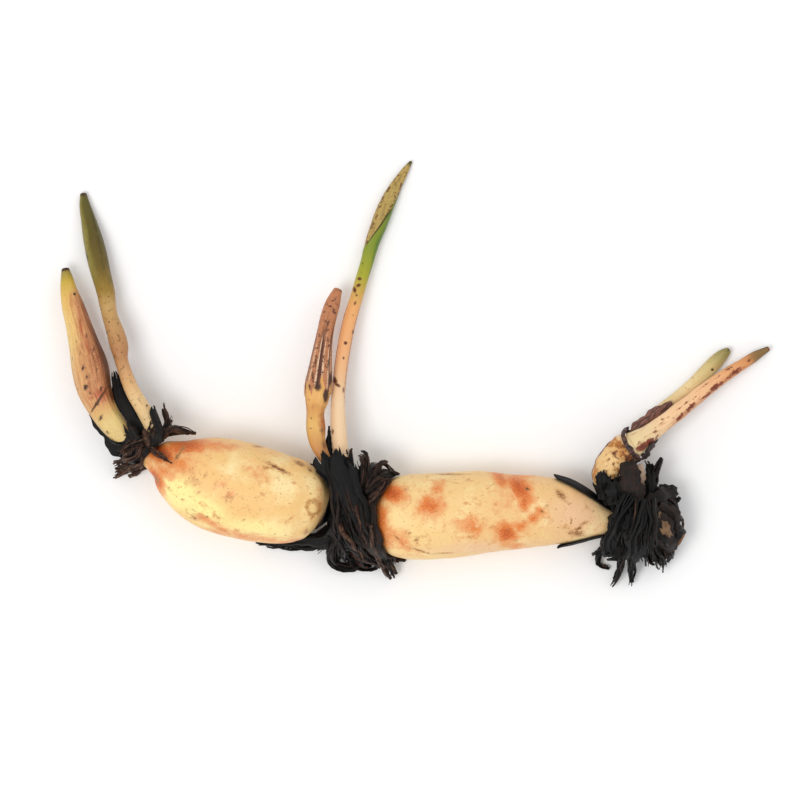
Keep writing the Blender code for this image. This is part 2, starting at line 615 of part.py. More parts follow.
def build():
    for old in list(bpy.data.objects):
        bpy.data.objects.remove(old)
    draw = np.random.default_rng(SEED)

    specs = {
        "terminal_bud": (TERMINAL_BUD, 12, bud_ribs, STRAW),
        "head_leaf": (HEAD_LEAF, 10, rolled_edge, OLIVE),
        "middle_bud": (MIDDLE_BUD, 12, bud_ribs, BROWN),
        "middle_leaf": (MIDDLE_LEAF, 10, rolled_edge, GREEN),
        "side_runner": (SIDE_RUNNER, 14, None, STRAW),
        "side_bud": (SIDE_BUD, 10, None, PEACH),
        "side_leaf": (SIDE_LEAF, 10, rolled_edge, OLIVE),
        "old_stalk": (OLD_STALK, 8, None, STRAW),
    }
    rhizome = smooth(RHIZOME, 1)
    stems = {name: smooth(spec[0], 1) for name, spec in specs.items()}

    def rhizome_tube(name, grow=0.0):
        return tube(name, rhizome, 16, grow, INTERNODE_HEIGHT, (0.1, 0.15), skin_ripple)

    def stem_tube(name, stem, grow=0.0):
        _, sides, relief, _ = specs[stem]
        return tube(name, stems[stem], sides, grow, ends=stem_ends(stem), relief=relief)

    finish(rhizome_tube("rhizome"), CREAM, 0.45)
    for stem, spec in specs.items():
        finish(stem_tube(stem, stem), spec[3], 0.5)

    thick = [(rhizome, INTERNODE_HEIGHT)]
    tufts = {
        "head_tuft": (HEAD_MATS, head_scales, HEAD_ROOTS, ["terminal_bud", "head_leaf"]),
        "middle_tuft": (MIDDLE_MATS, middle_scales, MIDDLE_ROOTS, ["middle_bud", "middle_leaf"]),
        "end_tuft": (END_MATS, end_scales, END_ROOTS, ["side_runner", "old_stalk"]),
    }
    for name, (mats, scales, bundles, near) in tufts.items():
        around = thick + [(stems[stem], 1.0) for stem in near]
        clumps = [mat(*spec, draw) for spec in mats]
        made, *others = clumps + scales(stems) + roots_of(bundles, around, draw)
        made.name = name
        boolean(made, others, "UNION")
        boolean(made, [rhizome_tube("cutter", GAP)] + [stem_tube("cutter", stem, GAP) for stem in near], "DIFFERENCE")
        keep_largest(made)
        finish(made, ROOT_BLACK, 0.55, rounded=False)

    sheath = tube("side_sheath", smooth(SHEATH_COLLAR, 1), 14, ends=(0.0, 0.0))
    boolean(sheath, [flat_scale("blade", smooth(SHEATH_BLADE, 2), 0.3)], "UNION")
    boolean(sheath, [stem_tube("cutter", stem, GAP) for stem in ("side_runner", "side_bud", "side_leaf")], "DIFFERENCE")
    keep_largest(sheath)
    finish(sheath, SHEATH_BROWN, 0.55)


build()
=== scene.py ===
# %% [markdown]
# # A lotus rhizome with its shoots and root tufts
#
# The plain solids of the plant come in as a fixed model. This lesson lays a finer skin over each of them:
# pale internodes with rust stains, rolled leaves, ribbed buds, and tufts of black roots and torn leaves.
# The model could be touched up by hand, but a skin that is worked out from the same curves stays exactly
# where the solid is, and every wrinkle of it can be changed in one place. Lengths are in millimetres.

import bpy
import numpy as np
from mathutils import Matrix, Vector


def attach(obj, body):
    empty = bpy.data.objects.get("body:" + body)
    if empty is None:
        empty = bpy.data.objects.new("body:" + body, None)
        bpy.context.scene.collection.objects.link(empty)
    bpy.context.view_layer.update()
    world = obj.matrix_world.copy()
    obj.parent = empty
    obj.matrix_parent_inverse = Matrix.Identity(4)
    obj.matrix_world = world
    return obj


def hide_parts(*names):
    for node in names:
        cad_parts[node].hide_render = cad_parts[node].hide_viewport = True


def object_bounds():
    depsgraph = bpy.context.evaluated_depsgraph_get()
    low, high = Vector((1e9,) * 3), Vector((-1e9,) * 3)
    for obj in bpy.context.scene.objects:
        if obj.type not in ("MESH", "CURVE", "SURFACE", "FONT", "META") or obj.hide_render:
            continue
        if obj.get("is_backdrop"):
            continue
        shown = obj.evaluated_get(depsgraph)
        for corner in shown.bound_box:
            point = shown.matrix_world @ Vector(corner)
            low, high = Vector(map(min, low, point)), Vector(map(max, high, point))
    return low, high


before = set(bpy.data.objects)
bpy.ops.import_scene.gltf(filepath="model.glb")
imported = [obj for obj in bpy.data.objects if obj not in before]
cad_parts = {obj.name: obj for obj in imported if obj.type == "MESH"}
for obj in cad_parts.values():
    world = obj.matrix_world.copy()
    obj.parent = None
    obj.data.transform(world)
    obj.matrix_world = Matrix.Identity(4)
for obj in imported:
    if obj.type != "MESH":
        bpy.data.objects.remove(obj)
plain_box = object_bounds()
MM = 0.001  # a millimetre, in Blender's metres
print("nodes:", ", ".join(sorted(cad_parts)))

# %% [markdown]
# ## Curves
#
# A stem bends and swells smoothly between the few places where it was measured. A spline made of cubic
# pieces passes through each measured row, which a Bezier curve with guessed handles would not do by itself.


# %% Smooth rows along a path
def spline(values, reach, where):
    """Values at the places `where`, on cubics between the given rows.

    Each cubic meets the rows at its two ends, with the slopes that their neighbours give.
    """
    slopes = np.gradient(values, reach, axis=0)
    i = np.clip(np.searchsorted(reach, where, side="right") - 1, 0, len(reach) - 2)
    h = (reach[i + 1] - reach[i])[:, None]
    u = (where - reach[i])[:, None] / h
    return (
        (1 + 2 * u) * (1 - u) ** 2 * values[i]
        + u * (1 - u) ** 2 * h * slopes[i]
        + u * u * (3 - 2 * u) * values[i + 1]
        - u * u * (1 - u) * h * slopes[i + 1]
    )


def distances(points):
    """How far along a path each of its points is: the sum of the straight steps before it."""
    return np.concatenate([[0.0], np.cumsum(np.linalg.norm(np.diff(points, axis=0), axis=1))])


def along_path(stations, count):
    """Evenly spaced rows of x, y, z and radius on a smooth curve through the stations."""
    rows = np.array(stations, float)
    reach = distances(rows[:, :3])
    return spline(rows, reach, np.linspace(0, reach[-1], count))


def frames(paths):
    """Unit vectors at each point of one path or of many: ahead, to its right, and up from both."""
    ahead = np.gradient(paths, axis=-2)
    ahead /= np.linalg.norm(ahead, axis=-1, keepdims=True)
    right = np.cross(ahead, [0.0, 0.0, 1.0])
    short = np.linalg.norm(right, axis=-1, keepdims=True)
    right = np.where(short > 0.05, right / np.maximum(short, 1e-9), [1.0, 0.0, 0.0])
    up = np.cross(right, ahead)
    up /= np.linalg.norm(up, axis=-1, keepdims=True)
    return ahead, np.cross(ahead, up), up


turn = np.radians([0, 30, 60, 90])
arc = along_path(np.stack([10 * np.cos(turn), 10 * np.sin(turn), 0 * turn, 1 + turn], axis=1), 40)
stray = np.abs(np.hypot(arc[:, 0], arc[:, 1]) - 10).max()
print(f"a curve through four places of a 10 mm circle strays {stray:.2f} mm from it")

# %% [markdown]
# ## Round skins
#
# A stem's skin is a circle carried along its curve. Its radius changes with the angle and with the place
# along the stem, so ribs, waves and rolled edges are all one formula. Both ends close in small domes.
# The rings are joined by four-sided faces, whose corners run so that they face outwards.


# %% Faces of a round skin
def round_faces(rings, sides):
    """Faces of a closed round skin: four-sided ones between its rings, and a fan at each of its two poles."""
    i, j = np.meshgrid(np.arange(rings - 1), np.arange(sides), indexing="ij")
    k = (j + 1) % sides
    quads = np.stack([i * sides + j, (i + 1) * sides + j, (i + 1) * sides + k, i * sides + k], axis=-1)
    j = np.arange(sides)
    k = (j + 1) % sides
    top = (rings - 1) * sides
    first = np.stack([np.full(sides, rings * sides), j, k], axis=-1)
    last = np.stack([np.full(sides, rings * sides + 1), top + k, top + j], axis=-1)
    return quads.reshape(-1, 4), np.vstack([first, last])


print("a skin of 3 rings of 8 points:", [len(faces) for faces in round_faces(3, 8)], "quads and triangles")

# %% [markdown]
# ### The points of a round skin
#
# Each point also keeps its angle, its place and where it would lie if the stem were straight, because the
# materials draw streaks along the stem with those.

# %% A skin along a curve
DOME_RINGS = 6


def skin(rows, sides, relief=None, height=1.0, ends=(0.1, 0.4)):
    """A closed round skin along rows of x, y, z and radius r.

    A point is the centre + r (cos a right + height sin a up), where r is the row's radius times
    1 + relief(a, p) at the angle a and the place p. At an end the radius falls as cos t, while the centre
    moves on by ends r sin t, for t from 0 to a quarter turn.
    """
    ahead, right, up = frames(rows[:, :3])
    turn = 2 * np.pi * np.arange(sides) / sides
    t = np.linspace(0, np.pi / 2, DOME_RINGS + 2)[1:-1]
    last = len(rows) - 1
    which = np.concatenate([np.zeros(len(t), int), np.arange(len(rows)), np.full(len(t), last)])
    shrink = np.concatenate([np.cos(t[::-1]), np.ones(len(rows)), np.cos(t)])
    shift = np.concatenate([-ends[0] * np.sin(t[::-1]), np.zeros(len(rows)), ends[1] * np.sin(t)])
    place = which / last
    radius = np.repeat(rows[which, 3:4], sides, axis=1)
    if relief:
        radius = radius * (1 + relief(turn[None, :], place[:, None]))
    radius = radius * shrink[:, None]
    middle = rows[which, :3] + ahead[which] * (shift * rows[which, 3])[:, None]
    across, upward = np.cos(turn)[:, None], height * np.sin(turn)[:, None]
    outward = across * right[which][:, None] + upward * up[which][:, None]
    rings = middle[:, None] + radius[..., None] * outward
    first_pole = rows[0, :3] - ahead[0] * ends[0] * rows[0, 3]
    last_pole = rows[-1, :3] + ahead[-1] * ends[1] * rows[-1, 3]
    length = distances(rows[:, :3])[-1]
    along = np.repeat(place[:, None] * length, sides, axis=1)
    straight = np.stack([radius * np.cos(turn), radius * np.sin(turn), along], axis=-1)
    quads, triangles = round_faces(len(which), sides)
    return {
        "points": np.vstack([rings.reshape(-1, 3), first_pole, last_pole]),
        "quads": quads,
        "triangles": triangles,
        "outward": np.vstack([outward.reshape(-1, 3), -ahead[0], ahead[-1]]),
        "angle": np.append(np.tile(turn, len(which)), [np.pi / 2, np.pi / 2]),
        "place": np.append(np.repeat(place, sides), [0.0, 1.0]),
        "straight": np.vstack([straight.reshape(-1, 3), [0, 0, 0], [0, 0, length]]),
    }


tube = skin(along_path([(0, 0, 0, 5), (20, 0, 0, 5)], 9), 32)
print(f"a test tube: {len(tube['points'])} points, {np.ptp(tube['points'], axis=0).round(1)} mm")

# %% [markdown]
# ## From arrays to a mesh
#
# Blender takes whole arrays at once: the points, the corners of the faces, and one value at each point for
# each mark that a material reads. The volume that the faces enclose is measured, because a skin that is
# inside out would show up there as a negative number.


# %% Meshes and volumes
def mesh_of(name, points, quads, triangles):
    """A smooth mesh from points in metres and the point numbers at its faces' corners."""
    corners = np.concatenate([quads.ravel(), triangles.ravel()])
    starts = np.concatenate([4 * np.arange(len(quads)), 4 * len(quads) + 3 * np.arange(len(triangles))])
    mesh = bpy.data.meshes.new(name)
    mesh.vertices.add(len(points))
    mesh.vertices.foreach_set("co", points.ravel())
    mesh.loops.add(len(corners))
    mesh.loops.foreach_set("vertex_index", corners)
    mesh.polygons.add(len(starts))
    mesh.polygons.foreach_set("loop_start", starts)
    mesh.update(calc_edges=True)
    mesh.validate()
    mesh.shade_smooth()
    return mesh


def halved(surface):
    """A surface's faces as triangles: each four-sided one is cut along a diagonal."""
    quads = surface["quads"]
    return np.vstack([quads[:, [0, 1, 2]], quads[:, [0, 2, 3]], surface["triangles"]])


def volume(surface):
    """What a surface encloses, in ml of 1000 mm³: a sixth of the sum of a · (b × c) over its triangles."""
    a, b, c = (surface["points"][corner] for corner in halved(surface).T)
    return np.einsum("ij,ij->i", a, np.cross(b, c)).sum() / 6 / 1000


straight_part = np.pi * 5**2 * 20 / 1000
print(f"the test tube encloses {volume(tube):.2f} ml, {straight_part:.2f} ml of it between its domes")

# %% [markdown]
# ### Standing in for a node
#
# Each finished surface becomes one object that replaces a solid of the plain model, moves with its body and
# carries its material slot. Nothing may hang below the table, so points under it are lifted onto it.


# %% Put a surface in the scene
def put(name, node, surface, material, marks):
    """Makes an object of a surface in millimetres, which stands for a node and rides on the one body."""
    points = surface["points"].copy()
    points[:, 2] = np.maximum(points[:, 2], 0)
    surface = {**surface, "points": points}
    mesh = mesh_of(name, points * MM, surface["quads"], surface["triangles"])
    mesh.materials.append(material)
    for mark in marks:
        values = np.asarray(surface[mark], float)
        kind, key = ("FLOAT_VECTOR", "vector") if values.ndim == 2 else ("FLOAT", "value")
        mesh.attributes.new(mark, kind, "POINT").data.foreach_set(key, values.ravel())
    piece = bpy.data.objects.new(name, mesh)
    bpy.context.scene.collection.objects.link(piece)
    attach(piece, "root")
    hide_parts(node)
    print(f"{name}: {len(halved(surface))} triangles enclose {volume(surface):.2f} ml")


# %% [markdown]
# ## Colour and nodes
#
# Colours are read off the real plant as sRGB hex values, and a shader needs them linear. A single small
# function adds any node, sets its properties and fills or links its inputs, so a material reads as a list.


# %% Colours and nodes
def linear(text):
    """Red, green, blue and alpha of an sRGB hex colour: c/12.92 if c is small, else ((c+0.055)/1.055)^2.4."""
    c = np.array([int(text[i : i + 2], 16) for i in (1, 3, 5)]) / 255
    return (*np.where(c <= 0.04045, c / 12.92, ((c + 0.055) / 1.055) ** 2.4), 1.0)


def add(tree, kind, inputs, **settings):
    """Adds a node, sets its properties, and fills its inputs: a socket is linked, any other value is set."""
    node = tree.nodes.new("ShaderNode" + kind)
    for key, value in settings.items():
        setattr(node, key, value)
    for key, value in inputs.items():
        if isinstance(value, bpy.types.NodeSocket):
            tree.links.new(value, node.inputs[key])
        else:
            node.inputs[key].default_value = value
    return node


def new_material(name):
    """An empty material, its node tree and its surface input."""
    material = bpy.data.materials.new(name)
    material.use_nodes = True
    tree = material.node_tree
    tree.nodes.clear()
    return material, tree, add(tree, "OutputMaterial", {}).inputs["Surface"]


print("a grey of #808080 is", round(float(linear("#808080")[0]), 3), "once it is linear")

# %% [markdown]
# ## Camera, floor and light
#
# The plant is seen from straight above through a long lens, which keeps the tips of the low shoots where
# a tracing would have them. The focal length follows from how wide the picture is at the plant.

# %% Camera
# in millimetres: the picture's width at the plant, how far off the eye is, and what it looks down on
PICTURE_WIDTH = 320.0
EYE_DISTANCE = 2500.0
AIM = (-6.0, -10.4, 14.0)
SENSOR = 36.0
FAR = 50.0  # metres
lens = bpy.data.cameras.new("camera")
lens.sensor_width = SENSOR
lens.lens = SENSOR * EYE_DISTANCE / PICTURE_WIDTH
lens.clip_end = FAR
camera = bpy.data.objects.new("camera", lens)
camera.location = (AIM[0] * MM, AIM[1] * MM, (AIM[2] + EYE_DISTANCE) * MM)
bpy.context.scene.collection.objects.link(camera)
bpy.context.scene.camera = camera
bpy.context.scene.view_settings.view_transform = "Standard"
print(f"lens {lens.lens:.0f} mm at {EYE_DISTANCE:.0f} mm")

# %% [markdown]
# ### Floor and light
#
# The floor is plain and pale, like a sheet of paper. A soft light from the lower left gives each stem a
# little shape, a broader and weaker one opposite softens it, and an even white world keeps shadows faint.

# %% Floor and light
FLOOR_HALF = 3  # metres
FLOOR_DROP = 0.0003  # metres, so that no face of the plant lies in the floor
WORLD_STRENGTH = 0.70
# name, place in metres, width in metres and power in watts
LAMPS = [
    ("key", (-0.6, -0.35, 1.5), 0.7, 10),
    ("fill", (0.7, 0.7, 1.3), 1.2, 2.6),
]

square = [(-FLOOR_HALF, -FLOOR_HALF, 0), (FLOOR_HALF, -FLOOR_HALF, 0), (FLOOR_HALF, FLOOR_HALF, 0),
          (-FLOOR_HALF, FLOOR_HALF, 0)]
floor_mesh = bpy.data.meshes.new("floor")
floor_mesh.from_pydata(square, [], [(0, 1, 2, 3)])
floor = bpy.data.objects.new("floor", floor_mesh)
floor.location = (0, 0, -FLOOR_DROP)
bpy.context.scene.collection.objects.link(floor)
# uncoated paper: matt, so it shows soft shadows and no reflections
paper, tree, surface = new_material("white paper, matt")
look = {"Base Color": linear("#ffffff"), "Roughness": 0.9, "Specular IOR Level": 0.1}
tree.links.new(add(tree, "BsdfPrincipled", look).outputs["BSDF"], surface)
floor_mesh.materials.append(paper)
floor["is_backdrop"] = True

world = bpy.data.worlds.new("studio")
world.use_nodes = True
sky = world.node_tree.nodes["Background"].inputs
sky["Color"].default_value = linear("#ffffff")
sky["Strength"].default_value = WORLD_STRENGTH
bpy.context.scene.world = world

for name, place, size, power in LAMPS:
    soft = bpy.data.lights.new(name, "AREA")
    soft.size = size
    soft.energy = power
    lamp = bpy.data.objects.new(name, soft)
    lamp.location = place
    lamp.rotation_euler = (-lamp.location).to_track_quat("-Z", "Y").to_euler()
    lamp.visible_camera = False
    bpy.context.scene.collection.objects.link(lamp)
    print(f"{name} light: {size} m wide, {power} W, {lamp.location.length:.2f} m from the plant")

# %% [markdown]
# ## Marks on a skin
#
# Stains, scars and spots sit at certain places on the real plant. Each is a dab: an oval seen from above,
# strong in the middle and fading outwards. The dabs only say where a mark is. The material breaks their
# edges up with noise, so that they look grown and not painted. In every table of dabs a row is x, y,
# half-length, half-width, turn in degrees and strength, with lengths in millimetres.


# %% Dabs
def dabs(surface, spots, hollow=0.0):
    """How strongly each point is marked, from 0 to 1, by the strongest of the dabs.

    With d the distance from a dab's middle in its half-sizes, it falls off as exp(-d²). A hollow dab is a
    ring: it falls off as exp(-4 (d - hollow)²). On a round skin it fades away below the stem's middle.
    """
    spots = np.array(spots)
    dx = surface["points"][:, None, 0] - spots[:, 0]
    dy = surface["points"][:, None, 1] - spots[:, 1]
    c, s = np.cos(np.radians(spots[:, 4])), np.sin(np.radians(spots[:, 4]))
    d = np.hypot((dx * c + dy * s) / spots[:, 2], (dy * c - dx * s) / spots[:, 3])
    fall = np.exp(-4 * (d - hollow) ** 2) if hollow else np.exp(-d * d)
    strength = (spots[:, 5] * fall).max(axis=1)
    return strength * np.clip(1 + 2.5 * np.sin(surface["angle"]), 0, 1) if "angle" in surface else strength


def between(values, low, high):
    """A smooth step: 0 up to low, 1 from high on, and 3u² - 2u³ between them."""
    u = np.clip((values - low) / (high - low), 0, 1)
    return u * u * (3 - 2 * u)


def flank_shading(surface):
    """Painted shade on a stem's flanks and belly: it starts a little above the middle line."""
    return between(-np.sin(surface["angle"]), -0.72, 0.2)


test = dabs({"points": np.array([[0.0, 0.0], [2.0, 0.0], [4.0, 0.0]])}, [(0, 0, 2, 1, 0, 1)])
print("a dab of half-length 2 mm is", test.round(2), "strong at 0, 2 and 4 mm from its middle")

# %% [markdown]
# ## Living skin
#
# The rhizome and its shoots are all fresh plant skin: a thin, faintly waxy layer over pale flesh that lets
# a little light through. They share one recipe. The ground colour changes along the stem by a list of
# stops, and noise breaks up everything laid on it: round blots, fine grain, fibres that run along the stem,
# or scattered flecks. The noise is taken where each point would lie if the stem were straight, so it
# follows every bend.


# %% Stops and noises
def set_stops(ramp, stops):
    """Gives a ramp its stops, each a place from 0 to 1 and a colour, and hands back its colour output."""
    for k, (at, colour) in enumerate(stops):
        stop = ramp.color_ramp.elements[k] if k < 2 else ramp.color_ramp.elements.new(at)
        stop.position = at
        stop.color = linear(colour)
    return ramp.outputs["Color"]


def noises(tree, where, size):
    """Patterns from 0 to 1 with spots of real sizes: blots about `size` millimetres wide, a cloud five times
    that, grain a quarter of it, flecks that lie about 0.8 of it apart, and fibres about a millimetre wide
    and twelve times as long."""
    rough = {"Vector": where, "Detail": 5.0, "Roughness": 0.62}
    lengthwise = add(tree, "Mapping", {"Vector": where, "Scale": (1.0, 1.0, 0.08)}).outputs["Vector"]
    cells = add(tree, "TexVoronoi", {"Vector": where, "Scale": 1.3 / size}).outputs["Distance"]
    flecks = add(tree, "MapRange", {"Value": cells, "From Min": 0.30, "From Max": 0.0}).outputs["Result"]
    return {
        "cloud": add(tree, "TexNoise", {**rough, "Scale": 0.2 / size, "Detail": 3.0}).outputs["Fac"],
        "blots": add(tree, "TexNoise", {**rough, "Scale": 1.0 / size}).outputs["Fac"],
        "grain": add(tree, "TexNoise", {**rough, "Scale": 4.0 / size}).outputs["Fac"],
        "fibres": add(tree, "TexNoise", {**rough, "Vector": lengthwise, "Scale": 1.2}).outputs["Fac"],
        "flecks": flecks,
    }


print("for blots of 1.6 mm, flecks lie", round(1.6 / 1.3, 1), "mm apart and grain is", 1.6 / 4, "mm wide")

# %% [markdown]
# ### Stains
#
# A stain shows where its mark is strong, and noise breaks up its edge. In every table of stains a row is the
# colour, its mark (or a plain number when noise alone decides), its noise, and the reach, low and high of
# its edge. Blender's noise stays near one half, so a fine speckle needs a reach of 2 or more.


# %% Stains
def stained(tree, under, colour, mark, noise, reach, low, high):
    """Lays a colour over another where a mark and noise agree.

    The noise swings the mark up and down by half of `reach`. Nothing is laid where the sum is `low` or
    less, and the full colour where it is `high` or more.
    """
    swing = add(tree, "Math", {0: noise, 1: reach, 2: -0.5 * reach}, operation="MULTIPLY_ADD").outputs[0]
    total = add(tree, "Math", {0: swing, 1: mark}, operation="ADD").outputs[0]
    span = {"Value": total, "From Min": low, "From Max": high}
    amount = add(tree, "MapRange", span, interpolation_type="SMOOTHSTEP").outputs["Result"]
    return add(tree, "Mix", {0: amount, 6: under, 7: linear(colour)}, data_type="RGBA").outputs[2]


usual = 0.12 * 2.4  # the noise mostly strays no more than 0.12 from one half
print(f"a mark of 0.5 with a reach of 2.4 swings between {0.5 - usual:.2f} and {0.5 + usual:.2f}")

# %% [markdown]
# ### The recipe
#
# Stops, stains, a fine relief of fibres or blots, a gloss that grain breaks up, and a little light that
# enters the skin and comes out warmer. Each shoot also gets painted shade on its flanks and belly.

# %% Living skin
# a thin waxy layer reflects weakly, and in pale flesh red light goes 2 mm deep and blue a quarter of that
WAX = {"Specular IOR Level": 0.36}
FLESH = {"Subsurface Weight": 0.1, "Subsurface Radius": (1.0, 0.55, 0.28), "Subsurface Scale": 0.002}


def living_skin(name, stops, stains, size, roughness, sway, relief="fibres"):
    """Fresh plant skin with stops along the stem, which noise sways by `sway`, and stains over them."""
    material, tree, surface = new_material(name)
    place = add(tree, "Attribute", {}, attribute_name="place").outputs["Fac"]
    straight = add(tree, "Attribute", {}, attribute_name="straight").outputs["Vector"]
    noise = noises(tree, straight, size)
    swing = {0: noise["fibres"], 1: sway, 2: -0.5 * sway}
    swing = add(tree, "Math", swing, operation="MULTIPLY_ADD").outputs[0]
    swayed = add(tree, "Math", {0: swing, 1: place}, operation="ADD").outputs[0]
    colour = set_stops(add(tree, "ValToRGB", {"Fac": swayed}), stops)
    for laid, mark, kind, reach, low, high in stains:
        if isinstance(mark, str):
            mark = add(tree, "Attribute", {}, attribute_name=mark).outputs["Fac"]
        colour = stained(tree, colour, laid, mark, noise[kind], reach, low, high)
    ups = {0: noise["grain"], 1: 0.35, 2: noise[relief]}
    ups = add(tree, "Math", ups, operation="MULTIPLY_ADD").outputs[0]
    bump = add(tree, "Bump", {"Height": ups, "Strength": 0.4, "Distance": 0.0005}).outputs["Normal"]
    span = {"Value": noise["grain"], "To Min": roughness - 0.08, "To Max": roughness + 0.1}
    gloss = add(tree, "MapRange", span).outputs["Result"]
    look = {"Base Color": colour, "Roughness": gloss, "Normal": bump, **WAX, **FLESH}
    tree.links.new(add(tree, "BsdfPrincipled", look).outputs["BSDF"], surface)
    print(f"{name}: {len(stops)} stops and {len(stains)} stains in {len(tree.nodes)} nodes")
    return material


def dress(name, node, surface, material, marks):
    """Puts a round skin in the scene with its marks, its painted flank shade and its place along the stem."""
    surface["flank_shade"] = flank_shading(surface)
    put(name, node, surface, material, ("place", "straight", "flank_shade", *marks))


# the share of the way round a stem where the painted flank shade is full
belly = flank_shading({"angle": np.linspace(0, 2 * np.pi, 361)}) == 1
print(f"soil lies in full on {100 * belly.mean():.0f} % of the way round a stem")

# %% [markdown]
# ## The rhizome
#
# Two fat internodes and the stub of a third grew as one body, thin at the nodes. The skin is a fine grid,
# about 0.7 mm to a cell, with low waves, small lumps and pressed-in scars. Each row of the curve is x, y, z
# and radius. The plant rests on a flat spot under each internode, where the skin would be under the table.

# %% The rhizome's shape
RHIZOME = [
    (-107.5, -31, 17, 4), (-105.2, -32.8, 17, 5), (-100.2, -34.8, 17.2, 8.9), (-94.4, -37.9, 17.4, 13.2),
    (-87.4, -41, 17.5, 16.8), (-79.4, -43.7, 17.5, 18.7), (-70.8, -45.9, 17.5, 19.2),
    (-62.4, -48, 17.5, 19), (-53.8, -49.8, 17.4, 18.1), (-45.8, -50.6, 17.2, 16.2),
    (-40.2, -51.4, 17, 13), (-36.6, -52.2, 16.6, 8.2), (-34.4, -52.8, 16.3, 5.6), (-31, -53.8, 16, 5),
    (-26, -54.8, 15.6, 6), (-21, -55.8, 15.5, 5.2), (-17.8, -56.4, 15.5, 7.3), (-14.8, -56.8, 15.6, 11.2),
    (-10.8, -57, 15.7, 14.6), (-4, -57.2, 15.7, 16.8), (4, -57.2, 15.7, 17.1), (14, -56.6, 15.7, 17),
    (26, -55.4, 15.4, 16.6), (38, -55.2, 15, 15.2), (50, -54.8, 14.4, 14), (58, -55.2, 14, 12.8),
    (64, -56.2, 13.7, 11.3), (70, -57.4, 13.4, 8.8), (74.8, -58.4, 13.2, 6.3), (79, -59, 13, 4.6),
    (84, -59.6, 12.8, 4.6), (90, -60.4, 12.5, 6), (96, -61.6, 12, 6.4), (101.2, -63.6, 11, 5.6),
    (106, -66.4, 10, 4.2),
]
HEIGHT = 0.96  # the body is that much less high than wide
SCAR_DEPTH = 0.5


def rhizome_waves(a, p):
    """Low waves that lean round the body, and smaller lumps where waves of several lengths cross."""
    waves = 0.012 * np.sin(3 * a + 9 * p) + 0.008 * np.sin(2 * a - 31 * p)
    lumps = np.sin(5 * a + 23 * p) * np.sin(47 * p - 2 * a) + np.sin(9 * a - 61 * p) * np.sin(83 * p + 4 * a)
    return waves + 0.0028 * lumps


rhizome = skin(along_path(RHIZOME, 372), 160, rhizome_waves, HEIGHT, (0.1, 0.15))
SCARS = [
    (-54.2, -37.6, 6.2, 0.8, -26, 1), (2, -70.4, 7, 0.8, -18, 0.7), (-7.2, -65.2, 3, 0.8, -42, 0.7),
    (13, -41, 9, 0.6, 0, 0.5),
]
rhizome["points"] -= rhizome["outward"] * SCAR_DEPTH * dabs(rhizome, SCARS)[:, None]
print(f"rhizome: {len(rhizome['points'])} points, the scars are up to {SCAR_DEPTH} mm deep")

# %% [markdown]
# ### Stains on the rhizome
#
# Rust-coloured stains come from iron in the mud. They spread from the growing end along the upper side,
# and lie in soft patches on the second internode, some with darker cores. Two tall strips in the same
# colours at the necks are painted shade, where the rhizome goes in under the middle tuft. Wiped streaks are
# pale again, where a hand has rubbed the rust off. A painted picture could hold all this, but dabs can be
# moved one by one and stay sharp at any size.

# %% Where the rust is
RUST_AND_NECK_SHADE = [
    (-101, -31.4, 7, 4.6, -25, 1.35), (-91, -29, 12, 3.6, 5, 1.15), (-79, -28.4, 9, 2.6, -5, 0.6),
    (-95, -35.4, 9, 4.6, -10, 0.75), (-103.4, -41.6, 6, 2.4, -62, 1.3), (-99.6, -38.6, 6, 3, -30, 0.7),
    (-73.2, -47.6, 3, 1.8, 30, 0.45), (-76, -43, 5, 2, 20, 0.36), (-70, -64.4, 22, 1.8, -9, 0.6),
    (-50, -67, 9, 1.4, 5, 0.6), (-62, -39, 6, 3, -22, 0.4), (-82, -58.6, 6, 1.8, -25, 0.62),
    (-76, -62.4, 6, 1.4, -20, 0.62), (-9.6, -47.4, 6.4, 4, -15, 1.3), (-14, -50, 4, 5, 0, 0.7),
    (6, -52.4, 6, 5, 20, 0.95), (9, -45.6, 5, 3, 50, 0.66), (22, -61, 7, 5, -10, 0.74),
    (36.4, -63.4, 5, 4.4, -20, 1.2), (42.6, -60.6, 5, 3, 25, 0.8), (47, -57.4, 3.4, 3, 60, 0.84),
    (34, -41.4, 6, 3, -50, 0.92), (41.6, -45.4, 7.4, 4.4, -48, 1.2), (43.6, -51, 3.2, 4.4, 0, 0.95),
    (36, -50, 5, 7, 30, 0.48), (49.6, -54.4, 3, 2, -30, 0.85), (40, -40.8, 10, 1.4, 0, 0.7),
    # the tall strips at x -13.6 and x -38 are painted shade, where the rhizome goes in under the middle tuft
    (40, -68.8, 6, 1.6, -5, 0.66), (-6, -66, 8, 3.4, -35, 0.62), (-13.6, -58, 3, 12, 0, 1),
    (-11, -66, 4, 5, -40, 0.8), (-38, -54, 1.5, 12, 0, 0.5),
]
WIPED = [
    (39.2, -48, 5.2, 0.5, -58, 0.9), (36.8, -46, 4, 0.4, -58, 0.8), (42.4, -44.4, 3.6, 0.4, -52, 0.7),
    (7.6, -49, 4, 0.6, -20, 0.8), (24.6, -60.4, 1.4, 1.2, 0, 0.9), (-90, -31.6, 5, 0.5, 12, 0.7),
]
print(len(RUST_AND_NECK_SHADE), "dabs of rust and", len(WIPED), "wiped streaks")
